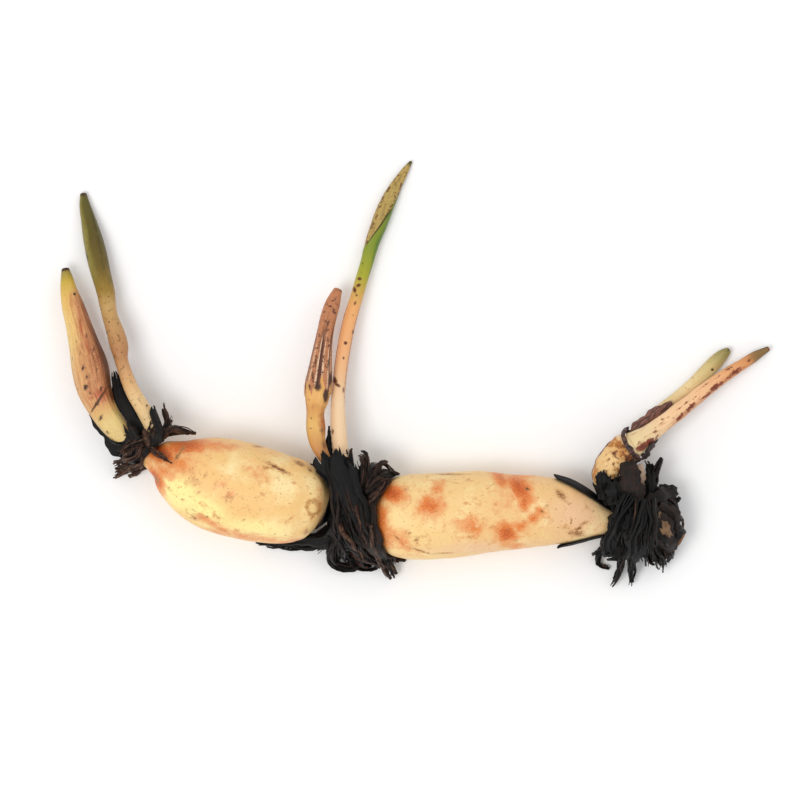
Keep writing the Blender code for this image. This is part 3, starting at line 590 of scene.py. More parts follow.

# %% [markdown]
# ### Small marks on the rhizome
#
# Brown marks are small wounds and scars, and rings are old bruises. Broad warm and pink tones lie along the
# flanks, and the warm one is partly painted light, brightest on the lower left where the light falls.
# The freckled zones carry dots about a millimetre wide and 2 to 3 mm apart. The cut-off stub at the
# old end is brown, and darkest at its last knob.

# %% Where the small marks are
BROWN = [
    (-92.6, -30, 2, 1.1, 50, 0.95), (-94.4, -32.6, 2.4, 1.1, 60, 1), (-103, -42, 2.6, 0.9, -60, 0.9),
    (-54.2, -37.6, 6.8, 0.8, -26, 1.15), (-56.8, -35.8, 4.4, 1, -26, 0.72),
    (-40.4, -51.2, 1.1, 0.9, 0, 0.85), (-40, -55.6, 1.2, 0.7, 20, 0.85),
    (-45.8, -35.8, 3.2, 1.1, -25, 0.95), (-42, -38.2, 2, 0.8, -45, 0.9),
    (-62.8, -28.9, 3.4, 0.7, -8, 0.8), (-78.6, -24.9, 2.6, 0.6, 0, 0.8), (-83.6, -40.4, 0.7, 0.6, 0, 1),
    (-80, -39.6, 0.5, 0.9, 20, 0.7), (-86, -43, 0.5, 0.5, 0, 0.8), (-89.2, -38.2, 0.7, 0.5, 0, 0.8),
    (-90, -43.6, 0.6, 0.5, 0, 0.7), (-82.8, -56.8, 0.7, 0.7, 0, 1.1), (-41.6, -47.6, 0.6, 0.6, 0, 0.95),
    (-43.6, -63.2, 2, 1.2, 30, 0.8), (-55.4, -49.6, 0.6, 0.8, 0, 0.6), (44.6, -45.8, 1.1, 0.7, -30, 1.2),
    (58, -48.2, 3.4, 1.8, -45, 1), (65.2, -61.6, 2, 0.9, 30, 1.1), (62.2, -58.6, 0.5, 1.8, 0, 1.05),
    (64.4, -63.6, 4.4, 1.8, -5, 0.95), (67.6, -59.4, 2.6, 0.9, 20, 0.8), (60, -50.6, 3.4, 0.7, -40, 0.75),
    (68.6, -53, 2.2, 0.6, -50, 0.7), (52.4, -52.6, 1.8, 1, 20, 0.7), (30.6, -44.2, 2.4, 0.5, 30, 0.6),
    (16, -43.4, 3.6, 0.5, -10, 0.6), (-3.6, -46, 2, 0.8, 20, 0.6), (27.6, -57.4, 1, 0.6, 0, 0.8),
    (-86, -47.2, 1.6, 0.7, 40, 0.75), (-92.4, -50, 1.2, 0.7, 0, 0.75), (-75, -50.4, 1, 0.6, 0, 0.7),
    (-68.2, -58, 1.6, 0.6, 20, 0.62), (-88, -57.2, 2, 0.9, -30, 0.8), (-98, -45.4, 1, 1.6, 20, 0.7),
    (50.6, -54.8, 1.4, 0.8, -30, 0.9), (71, -54.8, 1, 1.2, 0, 0.55), (-2, -63.2, 1, 0.6, -20, 0.95),
    (0.2, -66, 1.6, 1.2, 20, 0.7), (-7.2, -65.2, 3.2, 0.5, -42, 1), (2, -70.4, 7, 0.55, -18, 0.95),
    (12, -71.4, 6, 0.5, 2, 0.8), (14, -40, 10, 0.6, 0, 0.8), (22, -65, 1.4, 0.8, 0, 0.66),
    (40, -66.4, 1.2, 0.8, 20, 0.66),
]
# a yellow tone on the first internode's lower left, partly painted light where the light falls
WARM_AND_LIT = [
    (-94, -47.6, 11, 7, -40, 1.2), (-84, -54, 14, 7, -30, 1), (-66, -61, 20, 5, -8, 0.8),
]
PINK = [
    (64, -56.4, 16, 11, 0, 0.9), (26, -69, 26, 4, 2, 0.9), (30, -43, 20, 4, 0, 0.3),
]
RINGS = [
    (-40.6, -53.2, 2.3, 3.2, 0, 1.1), (-72.6, -47.4, 2.4, 1.3, 30, 0.65),
    (-89.4, -54.8, 1.8, 1.2, -20, 0.65), (-55.6, -39.6, 4.2, 1.8, -26, 0.55), (0, -66, 1.6, 1.3, 0, 0.7),
]
FRECKLES = [
    (-88, -42, 14, 9, -10, 0.62), (-80, -58, 16, 5, -20, 0.54), (-64, -48, 20, 8, 0, 0.38),
    (-44, -60, 8, 5, 40, 0.45), (24, -58, 30, 12, 0, 0.36), (60, -60, 12, 8, 0, 0.55),
    (0, -66, 12, 5, -10, 0.5), (20, -42, 22, 2.6, 0, 0.5),
]
RHIZOME_MARKS = {
    "rust_and_neck_shade": RUST_AND_NECK_SHADE, "wiped": WIPED, "brown": BROWN, "warm_and_lit": WARM_AND_LIT, "pink": PINK, "freckled": FRECKLES
}
for mark, spots in RHIZOME_MARKS.items():
    rhizome[mark] = dabs(rhizome, spots)
rhizome["ringed"] = dabs(rhizome, RINGS, 1.0)
rhizome["stub"] = between(rhizome["place"], 0.86, 0.90)
rhizome["knob"] = between(rhizome["place"], 0.955, 0.985)
print(sum(map(len, RHIZOME_MARKS.values())), "dabs and", len(RINGS), "rings on the rhizome")

# %% [markdown]
# ### Washed rhizome skin
#
# The plant has been rinsed, so its cream skin shows, with what the water left in it. Broad and pale
# stains are laid first, then painted flank shade and rust, each from its palest to its darkest tone,
# and last the small marks.

# %% Washed rhizome skin
RHIZOME_STOPS = [
    (0, "#eab572"), (0.1, "#f2c37d"), (0.3, "#f2c783"), (0.45, "#f6d390"), (0.7, "#f1c687"),
    (0.85, "#e9bb85"),
]
RHIZOME_STAINS = [
    ("#fae0a4", 0, "cloud", 1, -0.05, 0.2),
    # yellow tone, partly painted light on the lower left
    ("#ffec9e", "warm_and_lit", "blots", 0.5, 0.15, 1),
    ("#eec29c", "pink", "blots", 0.5, 0.2, 1.3),
    ("#e0a766", 0, "blots", 1.2, 0.05, 0.42),
    ("#e2b274", 0, "fibres", 1.8, 0.1, 0.7),
    # painted shade on the flanks and belly
    ("#cd9456", "flank_shade", "blots", 1, 0.7, 2.4),
    # rust colours, which at the two necks are painted shade
    ("#edb67a", "rust_and_neck_shade", "blots", 1.2, 0.02, 0.5),
    ("#e78742", "rust_and_neck_shade", "blots", 1.5, 0.24, 0.95),
    ("#c4561e", "rust_and_neck_shade", "grain", 1.5, 0.55, 1.4),
    ("#8a4c24", "rust_and_neck_shade", "blots", 1.8, 1.15, 1.9),
    ("#f3cf98", "wiped", "grain", 0.8, 0.4, 1),
    ("#cf9c60", "freckled", "blots", 2.4, 0.45, 1.3),
    ("#a6733c", "freckled", "flecks", 1.3, 0.42, 1.1),
    ("#bf884c", "ringed", "blots", 3, 0.35, 1.2),
    ("#bd8a50", 0, "grain", 3, 0.26, 0.7),
    ("#c08a54", "brown", "grain", 0.8, 0.15, 1.1),
    ("#70401f", "brown", "grain", 1.8, 0.5, 1.25),
    ("#5a3a22", "stub", "blots", 0.6, 0.3, 0.7),
    ("#b08450", "stub", "cloud", 1, 1.05, 1.25),
    ("#8e6038", "knob", "blots", 0.8, 0.3, 0.9),
    ("#4a2e1c", "knob", "grain", 2.4, 0.85, 1.4),
]
# living storage root, washed: a soft satin gloss over warm cream, with blots of 3.4 mm
washed = living_skin("rhizome skin, washed", RHIZOME_STOPS, RHIZOME_STAINS, 3.4, 0.42, 0.03, "blots")
marks = (*RHIZOME_MARKS, "ringed", "stub", "knob")
dress("rhizome_body", "rhizome", rhizome, washed, marks)

# %% [markdown]
# ## The shoots' curves
#
# Eight stems leave the nodes: two buds, three rolled leaves, a short side branch with a pointed shoot on
# it, and the stub of an old stalk. Each row is x, y, z and radius, from the root to the tip. They rise out
# of the node and come down to lie with the tip on the table or just over it.

# %% Stem tables
TERMINAL_BUD = [
    (-109, -29.8, 17, 3.9), (-112, -27.6, 16.8, 4.1), (-116.8, -24.2, 16.6, 4.5),
    (-121.2, -19.6, 16.4, 5), (-125.2, -13.4, 16, 5.5), (-128.2, -6.4, 15.4, 6.5), (-130.2, 2.8, 14.4, 7),
    (-132.6, 11.6, 13, 5.9), (-134.8, 19.6, 11.6, 5), (-137.2, 27.6, 10, 4.4), (-138.8, 33.6, 8.6, 3.4),
    (-139.6, 38.4, 7.6, 2.5), (-140.2, 42, 7, 1.6),
]
HEAD_LEAF = [
    (-104, -24.2, 21, 2.7), (-105.2, -20.6, 20.6, 3), (-108.4, -14.4, 19.6, 3.1), (-113, -6.4, 18, 2.95),
    (-116.2, 1.6, 16.2, 2.7), (-117.5, 6, 15.2, 2.8), (-118.3, 11, 14, 3.7), (-119.8, 16.4, 12.6, 3.6),
    (-121.9, 22.4, 11, 3.2), (-124.2, 33.6, 8.4, 3.7), (-126.4, 41.6, 6.6, 4), (-127.8, 47.2, 5.6, 4.15),
    (-129.3, 53.6, 4.6, 3.9), (-131.2, 61.6, 2.9, 3), (-132.8, 68.4, 2, 2.1), (-133.3, 72.4, 1.7, 1.3),
]
MIDDLE_BUD = [
    (-35.4, -34.6, 22.5, 2.2), (-37.2, -31.4, 22.2, 2.7), (-38.8, -27.6, 21.6, 3.2),
    (-39.6, -21.4, 20.6, 3.75), (-39.8, -15, 19.4, 3.4), (-39.2, -9.8, 18.4, 4.5), (-38.7, -5, 17.6, 5),
    (-38, 1.6, 16.4, 4.3), (-37.2, 8.8, 15, 3.5), (-36, 16.4, 13.6, 2.95), (-34.4, 23.6, 12.4, 2.9),
    (-32.6, 29.2, 11.4, 2.6), (-30.9, 33.6, 10.6, 1.8),
]
MIDDLE_LEAF = [
    (-26.8, -44.6, 18, 2.7), (-28.4, -36.8, 18.6, 3), (-30, -28.4, 17.6, 3.2), (-30.7, -18.4, 15.8, 3.1),
    (-30.7, -8.4, 13.8, 2.75), (-29.8, 1.6, 12, 2.7), (-28.5, 10.4, 10.4, 2.75), (-26.4, 20.8, 8.4, 2.75),
    (-23.8, 29.6, 6.8, 2.6), (-21.5, 37.6, 5.4, 2.55), (-19.1, 45.6, 4.4, 2.6), (-17, 53.6, 3.6, 2.9),
    (-14.7, 59.6, 3.2, 3.15), (-12.5, 65.6, 2.9, 3.15), (-9.8, 71.6, 2.6, 2.75), (-6.4, 77.6, 2.2, 2.1),
    (-3.8, 82, 1.7, 1.4), (-1.6, 85.4, 1.3, 0.6),
]
SIDE_RUNNER = [
    (79.6, -47.4, 16.2, 3.8), (77, -44.2, 16.8, 4.6), (75.8, -41, 17.2, 5.1), (77.2, -37, 17.4, 5.7),
    (80.4, -33, 17.2, 6.1), (84, -30.2, 16.8, 6.3), (86.2, -28.8, 16.5, 6.2),
]
SIDE_BUD = [
    (87, -28.3, 16.7, 5.4), (88.2, -27.6, 16.8, 4.9), (90, -26.5, 16.6, 4.5), (92.4, -24.9, 15.9, 4),
    (95.8, -22.4, 14.8, 3.5), (104, -16.1, 12.6, 3.3), (112.2, -9.6, 10.4, 3.1), (120, -3.6, 8.4, 2.8),
    (126, 0.5, 6.6, 2.45), (132, 4.2, 5, 2.2), (138, 8, 3.4, 1.8), (142, 10.2, 2.4, 1),
]
SIDE_LEAF = [
    (88.8, -24.2, 9.6, 1.8), (93.2, -19.6, 9.2, 2.2), (98.8, -14.4, 7.4, 2.4), (106, -8.8, 5.2, 2.4),
    (112, -3.9, 3.7, 2.7), (117.2, 1.2, 2.9, 3), (120.8, 5, 2.7, 2.85), (124, 8, 2.3, 2.2),
    (126, 9.6, 1.9, 1.3),
]
OLD_STALK = [
    (92.4, -47, 15, 1.7), (90.8, -41.6, 15.4, 1.7), (89.4, -36.2, 15.6, 1.6),
]
shoots = [TERMINAL_BUD, HEAD_LEAF, MIDDLE_BUD, MIDDLE_LEAF, SIDE_RUNNER, SIDE_BUD, SIDE_LEAF, OLD_STALK]
print("lengths of the shoots in mm:", [round(distances(np.array(rows)[:, :3])[-1]) for rows in shoots])

# %% [markdown]
# ## Shoot skins
#
# A bud is a leaf folded lengthwise inside its sheath, so it has ribs. A young lotus leaf is rolled from
# both sides, and the edge that lies on top shows as a step that winds up the shoot. Both are the radius
# formula of a round skin. The colours change from the pale root end to the tip, so each shoot has a list
# of stops along its length, and on top of them streaks, spots and, on the leaves, the shade of the fold.


# %% Shoot relief
# how far the outer edge of a roll stands out, as a share of the radius, and the angle that it starts at
# and how much it turns on the way up
LAP = 0.16
EDGE_START, EDGE_TURN = 2.2, -1.6
# the middle leaf's fold: places along the leaf, and the fold's angle at each
FOLD_PLACES = [0.70, 0.711, 0.726, 0.741, 0.778, 0.815, 0.87, 0.92]
FOLD_ANGLES = [3.2, 2.8, 2.2, 1.9, 1.45, 1.05, 0.4, -0.4]


def bud_ribs(a, p):
    """Five broad ribs, strongest at mid length, with thin ones between them."""
    swell = np.sin(np.pi * np.clip(1.1 * p, 0, 1))
    thin = 0.022 * np.cos(13 * a + 3 * p) + 0.012 * np.cos(27 * a - 5 * p)
    return swell * (0.07 * np.cos(5 * a + 1.2) + thin)


def rolled_edge(a, p):
    """The leaf's outer edge: the radius grows slowly with the angle round from the fold, and drops there."""
    lap = np.clip((p - 0.55) * 6, 0, 1) * np.clip((1 - p) * 8, 0, 1)
    turned = np.mod(a - EDGE_START - EDGE_TURN * p, 2 * np.pi) / (2 * np.pi)
    return LAP * lap * (turned - 0.5) + 0.012 * np.sin(3 * a + 15 * p) * np.sin(21 * p)


def winding_fold(p):
    """The angle of the middle leaf's fold: it starts on the left and winds over the top to the right."""
    return np.interp(p, FOLD_PLACES, FOLD_ANGLES)


def middle_fold(a, p):
    """As the rolled edge, but along the winding fold."""
    lap = between(p, 0.68, 0.74) * np.clip((1 - p) * 8, 0, 1)
    turned = np.mod(winding_fold(p) - a, 2 * np.pi) / (2 * np.pi)
    return LAP * lap * (0.6 - turned) + 0.01 * np.sin(3 * a + 15 * p) * np.sin(33 * p)


def soft_waves(a, p):
    """Slight unevenness of a plain stalk, with a few knots where old scale leaves sat."""
    knots = 0.03 * np.sin(41 * p) * np.sin(2 * a + 5 * p)
    return 0.014 * np.sin(2 * a + 9 * p) + 0.01 * np.sin(3 * a - 17 * p) + knots


a, p = np.meshgrid(np.linspace(0, 2 * np.pi, 181), np.linspace(0, 1, 181))
for relief in (bud_ribs, rolled_edge, middle_fold, soft_waves):
    print(f"{relief.__name__} changes the radius by up to {100 * np.abs(relief(a, p)).max():.0f} %")

# %% [markdown]
# ### The terminal bud
#
# The bud that will carry the rhizome on is straw yellow on its left side, and its right side is streaked
# with red-brown where the sheath has begun to dry. Its tip is green with a dark cap, and a fine brown line
# at its foot is the edge of the scale that it grew out of. Drying is strongest on the right (where the
# cosine of the angle is 1) and fades out towards both ends. A dark shade follows the right edge.

# %% Terminal bud
bud = skin(along_path(TERMINAL_BUD, 150), 96, bud_ribs)
a, p = bud["angle"], bud["place"]
bud["drying"] = (0.58 + 0.5 * np.cos(a)) * between(p, 0.20, 0.34) * (1 - 0.9 * between(p, 0.80, 0.95))
bud["drying"] *= 0.55 + 0.45 * between(p, 0.38, 0.56)
bud["drying"] += 0.42 * between(p, 0.24, 0.32) * (1 - between(p, 0.40, 0.66))
right_edge = 1.3 * between(np.cos(a), 0.78, 0.98) * between(p, 0.22, 0.32) * (1 - between(p, 0.62, 0.80))
foot = 0.8 * between(np.abs(np.cos(a)), 0.55, 1.0) * (1 - between(p, 0.20, 0.30))
bud["shaded"] = np.maximum(right_edge, foot)
BUD_SPOTS = [
    (-132.4, 2.4, 0.8, 1.7, -12, 1.1), (-131, -1.2, 0.7, 1.6, -14, 1), (-131.4, -5.4, 1.2, 1.6, -18, 1.2),
    (-129.8, -1, 0.5, 1.4, -14, 0.9), (-129.6, -7.6, 0.8, 1.2, -20, 0.9), (-133.8, 8, 0.5, 1.1, -10, 0.8),
    (-135.4, 13, 0.4, 1.3, -8, 0.8), (-127.4, 5, 0.6, 1.4, -16, 0.7), (-136.2, 32, 0.7, 0.9, 0, 1.2),
    (-125.4, -17.6, 1.9, 1, 62, 1), (-122.2, 11, 1, 3.6, 12, 0.9), (-118.6, 1, 0.9, 5, 14, 1),
    (-128.4, 9.6, 0.6, 1.4, -14, 1), (-127, 1.6, 0.5, 1.6, -16, 1), (-131.2, 15.4, 0.5, 1.6, -10, 1),
    (-125.2, -6, 0.8, 1.6, -20, 1.1), (-126.8, -11.8, 1.1, 1.3, -20, 1.1),
    (-133.8, 21, 0.4, 1.4, -8, 0.9), (-137, 6, 0.4, 1.6, -8, 0.8), (-134.6, -6, 0.5, 1.3, -12, 0.8),
    (-122.6, -23.4, 1.3, 0.8, -30, 0.9),
]
bud["spotted"] = np.maximum(dabs(bud, BUD_SPOTS), 1.2 * between(p, 0.975, 1.0))
BUD_REDS = [
    (-125.6, -8, 4.6, 3.4, 30, 1), (-133.6, 19, 7, 1.2, 100, 1), (-131.4, 12, 7, 1.2, 100, 0.8),
    (-129, -9.6, 2, 1.2, 30, 1), (-126.4, 4, 7, 0.9, 110, 0.7),
]
BUD_LINES = [
    (-126.2, -10.6, 7.4, 0.55, 57, 1.4), (-121.6, -4.6, 2.6, 0.5, 25, 1),
]
bud["reddened"], bud["lined"] = dabs(bud, BUD_REDS), dabs(bud, BUD_LINES)
BUD_STOPS = [
    (0, "#c39c61"), (0.1, "#dbbb7a"), (0.2, "#dfc37e"), (0.27, "#d7a968"), (0.5, "#e5be7d"),
    (0.72, "#e8c579"), (0.84, "#e5bc63"), (0.93, "#c9aa43"), (0.985, "#97853d"),
]
BUD_STAINS = [
    ("#e0a970", "drying", "blots", 0.8, 0.1, 0.9),
    ("#bd7c50", "drying", "fibres", 1.5, 0.25, 1),
    ("#84482c", "drying", "fibres", 2.4, 0.8, 1.5),
    ("#6c3a20", "drying", "grain", 3, 0.86, 1.5),
    ("#a8743e", 0, "grain", 3, 0.2, 0.65),
    ("#b05a34", "reddened", "fibres", 1.4, 0.3, 1.2),
    # painted shade on the flanks and belly
    ("#a8703c", "flank_shade", "blots", 1, 0.55, 1.9),
    ("#6a4024", "shaded", "fibres", 1, 0.4, 1.5),
    ("#402414", "spotted", "grain", 1.8, 0.4, 1),
    ("#5a3418", "lined", "grain", 1.2, 0.35, 0.9),
]
# a living sheath that has begun to dry: satin straw under matt-looking red-brown fibres
straw = living_skin("bud sheath, satin straw", BUD_STOPS, BUD_STAINS, 1.6, 0.44, 0.05)
marks = ("drying", "shaded", "reddened", "spotted", "lined")
dress("terminal_bud_sheath", "terminal_bud", bud, straw, marks)

# %% [markdown]
# ### The head leaf
#
# A leaf still rolled into a spear on its stalk: olive where it has seen light, tan at the knob where the
# stalk starts, and cream under the mud line. Its left side is lit and yellower, its right one is darker, and
# a thin dark line of painted shade marks the edge of the roll, where it laps over.

# %% Head leaf
leaf = skin(along_path(HEAD_LEAF, 170), 88, rolled_edge)
a, p = leaf["angle"], leaf["place"]
from_edge = np.abs(np.mod(a - EDGE_START - EDGE_TURN * p + np.pi, 2 * np.pi) - np.pi)
leaf["lit"] = between(p, 0.56, 0.68) * between(-np.cos(a), -0.3, 0.8)
leaf["shaded"] = between(p, 0.54, 0.64) * between(np.cos(a), -0.2, 1.0)
# painted shade: a thin dark line along the edge of the roll, where it laps over the layer below
line = 0.8 * np.exp(-((from_edge / 0.08) ** 2))
leaf["folded"] = line * between(p, 0.60, 0.7) * (1 - between(p, 0.93, 1.0))
LEAF_SPOTS = [
    (-122.4, 20.8, 0.7, 0.7, 0, 1.1), (-123.2, 16.6, 0.7, 0.7, 0, 1), (-125.8, 25.8, 0.6, 0.8, 0, 1),
    (-130.4, 54, 0.7, 0.7, 0, 1), (-131.6, 47, 0.9, 2.6, 10, 1), (-128, 44, 0.6, 2, 10, 0.6),
    (-114, 9, 1.2, 3.4, 10, 1), (-120.4, 13, 0.5, 2.6, 8, 0.8), (-117, 31, 0.8, 4, 8, 0.5),
    (-108, -12, 1, 2, 30, 0.4),
]
leaf["spotted"] = np.maximum(dabs(leaf, LEAF_SPOTS), 1.1 * between(p, 0.975, 1.0))
LEAF_STOPS = [
    (0, "#d3b482"), (0.15, "#e2bf89"), (0.24, "#d6a570"), (0.34, "#b47e51"), (0.45, "#bf915c"),
    (0.54, "#c09a5e"), (0.6, "#98782c"), (0.7, "#6a5612"), (0.84, "#594d10"), (0.96, "#5c541a"),
]
LEAF_STAINS = [
    ("#d7b27e", 0, "cloud", 1, 0.1, 0.6),
    ("#93883c", "lit", "fibres", 1.2, 0.3, 1.4),
    ("#4f4a1e", "shaded", "fibres", 1.4, 0.5, 1.6),
    # painted shade on the flanks and belly
    ("#7c4f2c", "flank_shade", "blots", 1.2, 0.5, 1.8),
    ("#9a6238", 0, "flecks", 1.4, 0.25, 0.8),
    # painted shade on the flanks and belly, darker
    ("#5a3c1c", "flank_shade", "grain", 2.6, 0.9, 1.6),
    ("#71501f", 0, "blots", 3, 0.18, 0.6),
    # painted shade along the edge of the roll
    ("#3f3a1a", "folded", "blots", 1, 0.3, 1.1),
    ("#46331c", "spotted", "grain", 1, 0.5, 1.1),
]
# a young leaf blade, rolled: waxy, so its olive green has a satin gloss that shows the edge of the roll
olive = living_skin("rolled leaf, satin olive", LEAF_STOPS, LEAF_STAINS, 1.6, 0.42, 0.08)
dress("head_leaf_roll", "head_leaf", leaf, olive, ("lit", "shaded", "folded", "spotted"))

# %% [markdown]
# ### The middle bud
#
# This bud's sheath has withered: it is brown and ribbed down to a ragged edge at two fifths of its length,
# and below that the living ochre stem shows, with a waist. The sheath stands a third of a millimetre proud
# of the stem. Dark fibres of painted shade lie in the grooves between its ribs, and pale ones on the thin
# ribs are partly the sheath's own bleaching and partly painted highlight.

# %% Middle bud
brown_bud = skin(along_path(MIDDLE_BUD, 170), 104, bud_ribs)
a, p = brown_bud["angle"], brown_bud["place"]
ragged = 0.425 + 0.035 * np.sin(5 * a + 1.0) + 0.022 * np.sin(11 * a) + 0.012 * np.sin(23 * a + 2)
sheathed = between(p - ragged, -0.006, 0.006)
SHEATH_PROUD = 0.32
brown_bud["points"] += brown_bud["outward"] * (SHEATH_PROUD * sheathed * (1 - between(p, 0.9, 1.0)))[:, None]
brown_bud["withered"] = sheathed
# painted shade: dark in the grooves between the five broad ribs, where the relief dips
brown_bud["groove_shade"] = sheathed * (0.55 - 0.55 * np.cos(5 * a + 1.2)) * (1 - 0.75 * between(p, 0.62, 0.92))
# pale on the raised thin ribs: partly the sheath's own bleaching, partly painted highlight
thin_ribs = between(np.cos(13 * a + 3 * p), 0.2, 0.8) * (1 - between(p, 0.6, 0.85))
brown_bud["bleached_and_highlit"] = sheathed * (0.1 + 0.95 * thin_ribs)
BROWN_SPOTS = [
    (-35.6, -8.6, 1.4, 3.6, -3, 1.3), (-33.8, -2, 1.2, 4.4, -6, 1.1), (-38.8, -5, 2.2, 2.6, 0, 1.1),
    (-40.8, -1, 0.9, 4, 0, 0.9), (-41.8, -5.4, 1, 1.4, 0, 0.9), (-38.4, 12, 0.6, 3.4, -6, 0.8),
    (-36, 10, 0.5, 4, -8, 0.7), (-37.2, -22.4, 1.7, 1.8, 0, 0.8), (-36.2, -15.6, 1.2, 1, 0, 0.6),
    (-41.4, -17.6, 0.7, 0.7, 0, 0.9), (-41.6, -21.6, 0.9, 0.5, 0, 0.9), (-42.2, -10.4, 0.8, 0.6, 0, 0.8),
    (-36.2, -28.4, 1.8, 3.6, 10, 0.8), (-37, 23, 0.7, 0.6, 0, 0.8), (-34.8, 20, 0.5, 3, -14, 0.9),
    (-32, 30, 0.9, 2, -20, 0.8), (-39.6, 5, 0.5, 4, -4, 1), (-34.6, 4, 0.6, 5, -6, 0.9),
]
brown_bud["spotted"] = np.maximum(dabs(brown_bud, BROWN_SPOTS), 0.5 * between(p, 0.95, 1.0))
brown_bud["reddened"] = dabs(brown_bud, [(-36.0, -20.0, 3.0, 7.0, 10, 1.0), (-40.0, -13.0, 4.0, 2.0, 0, 0.6)])
BROWN_STOPS = [
    (0, "#a56a3c"), (0.1, "#cc9152"), (0.21, "#e3b468"), (0.29, "#d79c58"), (0.37, "#e6b268"),
    (0.46, "#dba35e"), (0.6, "#c98f5c"), (0.97, "#b07850"),
]
BROWN_STAINS = [
    ("#b8713e", "reddened", "blots", 1, 0.3, 1),
    # painted shade on the flanks and belly
    ("#96603a", "flank_shade", "blots", 1, 0.4, 1.7),
    ("#c28056", "withered", "fibres", 0.5, 0.3, 0.8),
    # painted shade in the rib grooves
    ("#522c1e", "groove_shade", "fibres", 1.4, 0.4, 1.05),
    # pale streaks on the thin ribs, partly painted highlight
    ("#e4bc9a", "bleached_and_highlit", "fibres", 1.2, 0.45, 0.95),
    ("#7a4c38", "withered", "grain", 2.6, 1.04, 1.5),
    ("#6a3f2e", "withered", "blots", 3.4, 1.1, 1.5),
    ("#4a2b20", "spotted", "grain", 1.1, 0.45, 1),
]
# a dead sheath, shrunk on to its bud: duller than living skin, so its ribs show by painted shade and
# highlight
withered = living_skin("withered sheath, dull brown", BROWN_STOPS, BROWN_STAINS, 1.6, 0.55, 0.03)
marks = ("withered", "groove_shade", "bleached_and_highlit", "spotted", "reddened")
dress("middle_bud_sheath", "middle_bud", brown_bud, withered, marks)

# %% [markdown]
# ### The middle leaf
#
# The longest shoot: a cream-pink stalk that turns peach, then yellow-green, then into a leaf roll, bright
# green on one side of the fold and khaki with brown speckles on the other. The fold winds from the left
# edge over the top towards the tip, as a step in the surface with a dark line of painted shade along it.
# Every mark here is a product of smooth steps in the angle and in the place along the shoot.

# %% Middle leaf
long_leaf = skin(along_path(MIDDLE_LEAF, 320), 96, middle_fold)
a, p = long_leaf["angle"], long_leaf["place"]
past_fold = np.mod(a - winding_fold(p) + 0.6, 2 * np.pi) - 0.6
khaki = between(past_fold, -0.06, 0.06) * (1 - between(past_fold, 3.0, 3.6)) * between(p, 0.695, 0.72)
long_leaf["khaki"] = khaki
# painted shade: a dark line along the fold where the edge laps over; the mark also darkens the leaf's own tip
line = np.exp(-((np.abs(past_fold) / 0.13) ** 2)) * between(p, 0.695, 0.71) * (1 - between(p, 0.83, 0.87))
long_leaf["folded"] = np.maximum(line, 0.9 * between(p, 0.97, 1.0))
long_leaf["speckled"] = khaki * (0.42 + 0.5 * between(np.abs(np.cos(a)), 0.3, 0.8))
flank = between(np.abs(np.cos(a)), 0.62, 1.0)
long_leaf["flushed"] = flank * (1 - between(p, 0.50, 0.62)) * (0.35 + 0.65 * between(p, 0.15, 0.32))
long_leaf["deep_green"] = between(np.cos(a), 0.1, 1.0) * between(p, 0.58, 0.7) * (1 - khaki)
LONG_SPOTS = [
    (-22.2, 38.2, 1.1, 0.9, 0, 1.2), (-22.6, 35.6, 1.3, 0.9, 20, 1.2), (-24.2, 33.8, 0.9, 1.6, 10, 1.2),
    (-23.4, 31.6, 0.8, 1, 10, 0.9), (-21.4, 40.6, 0.6, 0.6, 0, 0.8), (-21, 44.4, 0.7, 0.6, 0, 0.9),
    (-24, 28.4, 0.7, 1.3, -20, 1), (-24.8, 23.6, 0.6, 0.7, 0, 0.8), (-27.8, 12.4, 0.9, 0.9, 0, 1.3),
    (-28.6, 6.4, 0.6, 0.8, 0, 1.1), (-24.8, 16.8, 0.6, 1.2, 0, 1), (-32.2, -2.4, 1.2, 2.4, 30, 1.2),
    (-31, -4.4, 2, 0.9, -30, 1.1), (-28.6, -6.4, 0.7, 1.8, 0, 0.9), (-32.8, -23, 0.8, 1.8, 0, 0.9),
]
long_leaf["spotted"] = dabs(long_leaf, LONG_SPOTS)
LONG_STOPS = [
    (0, "#e4bb92"), (0.14, "#efcda4"), (0.25, "#f2d2aa"), (0.31, "#eec092"), (0.4, "#eeb07a"),
    (0.53, "#ecac6c"), (0.585, "#caa64c"), (0.63, "#a7a62c"), (0.72, "#819028"), (0.85, "#788426"),
    (0.97, "#6b6434"),
]
LONG_STAINS = [
    ("#f6dab6", 0, "cloud", 0.8, 0.1, 0.6),
    ("#b56a3a", "flushed", "blots", 1.1, 0.4, 1.15),
    ("#44701c", "deep_green", "fibres", 1.6, 0.25, 1.3),
    ("#bb9f58", "khaki", "fibres", 0.6, 0.2, 0.9),
    ("#8a6c38", "khaki", "fibres", 2.6, 0.95, 1.7),
    ("#6a4e24", "khaki", "grain", 3.4, 1.1, 1.6),
    ("#6e4620", "speckled", "blots", 5, 0.8, 1.3),
    # painted shade on the flanks and belly
    ("#a05c34", "flank_shade", "blots", 1, 0.6, 1.8),
    # painted shade along the fold, and the leaf's own dark tip
    ("#4a4412", "folded", "fibres", 0.6, 0.3, 0.9),
    ("#643018", "spotted", "grain", 1, 0.4, 1),
]
# a young leaf blade and its stalk: satin, bright green on the younger side and khaki on the older one
green = living_skin("rolled leaf, satin green", LONG_STOPS, LONG_STAINS, 1.3, 0.4, 0.03)
marks = ("khaki", "speckled", "folded", "flushed", "deep_green", "spotted")
dress("middle_leaf_roll", "middle_leaf", long_leaf, green, marks)

# %% [markdown]
# ### The side branch and its shoots
#
# At the old end a short thick branch carries a pointed shoot and a small rolled leaf. The branch is cream,
# browned where it ends under the torn sheath, with dark rotten patches at its foot and a thin dark line
# along its left edge.

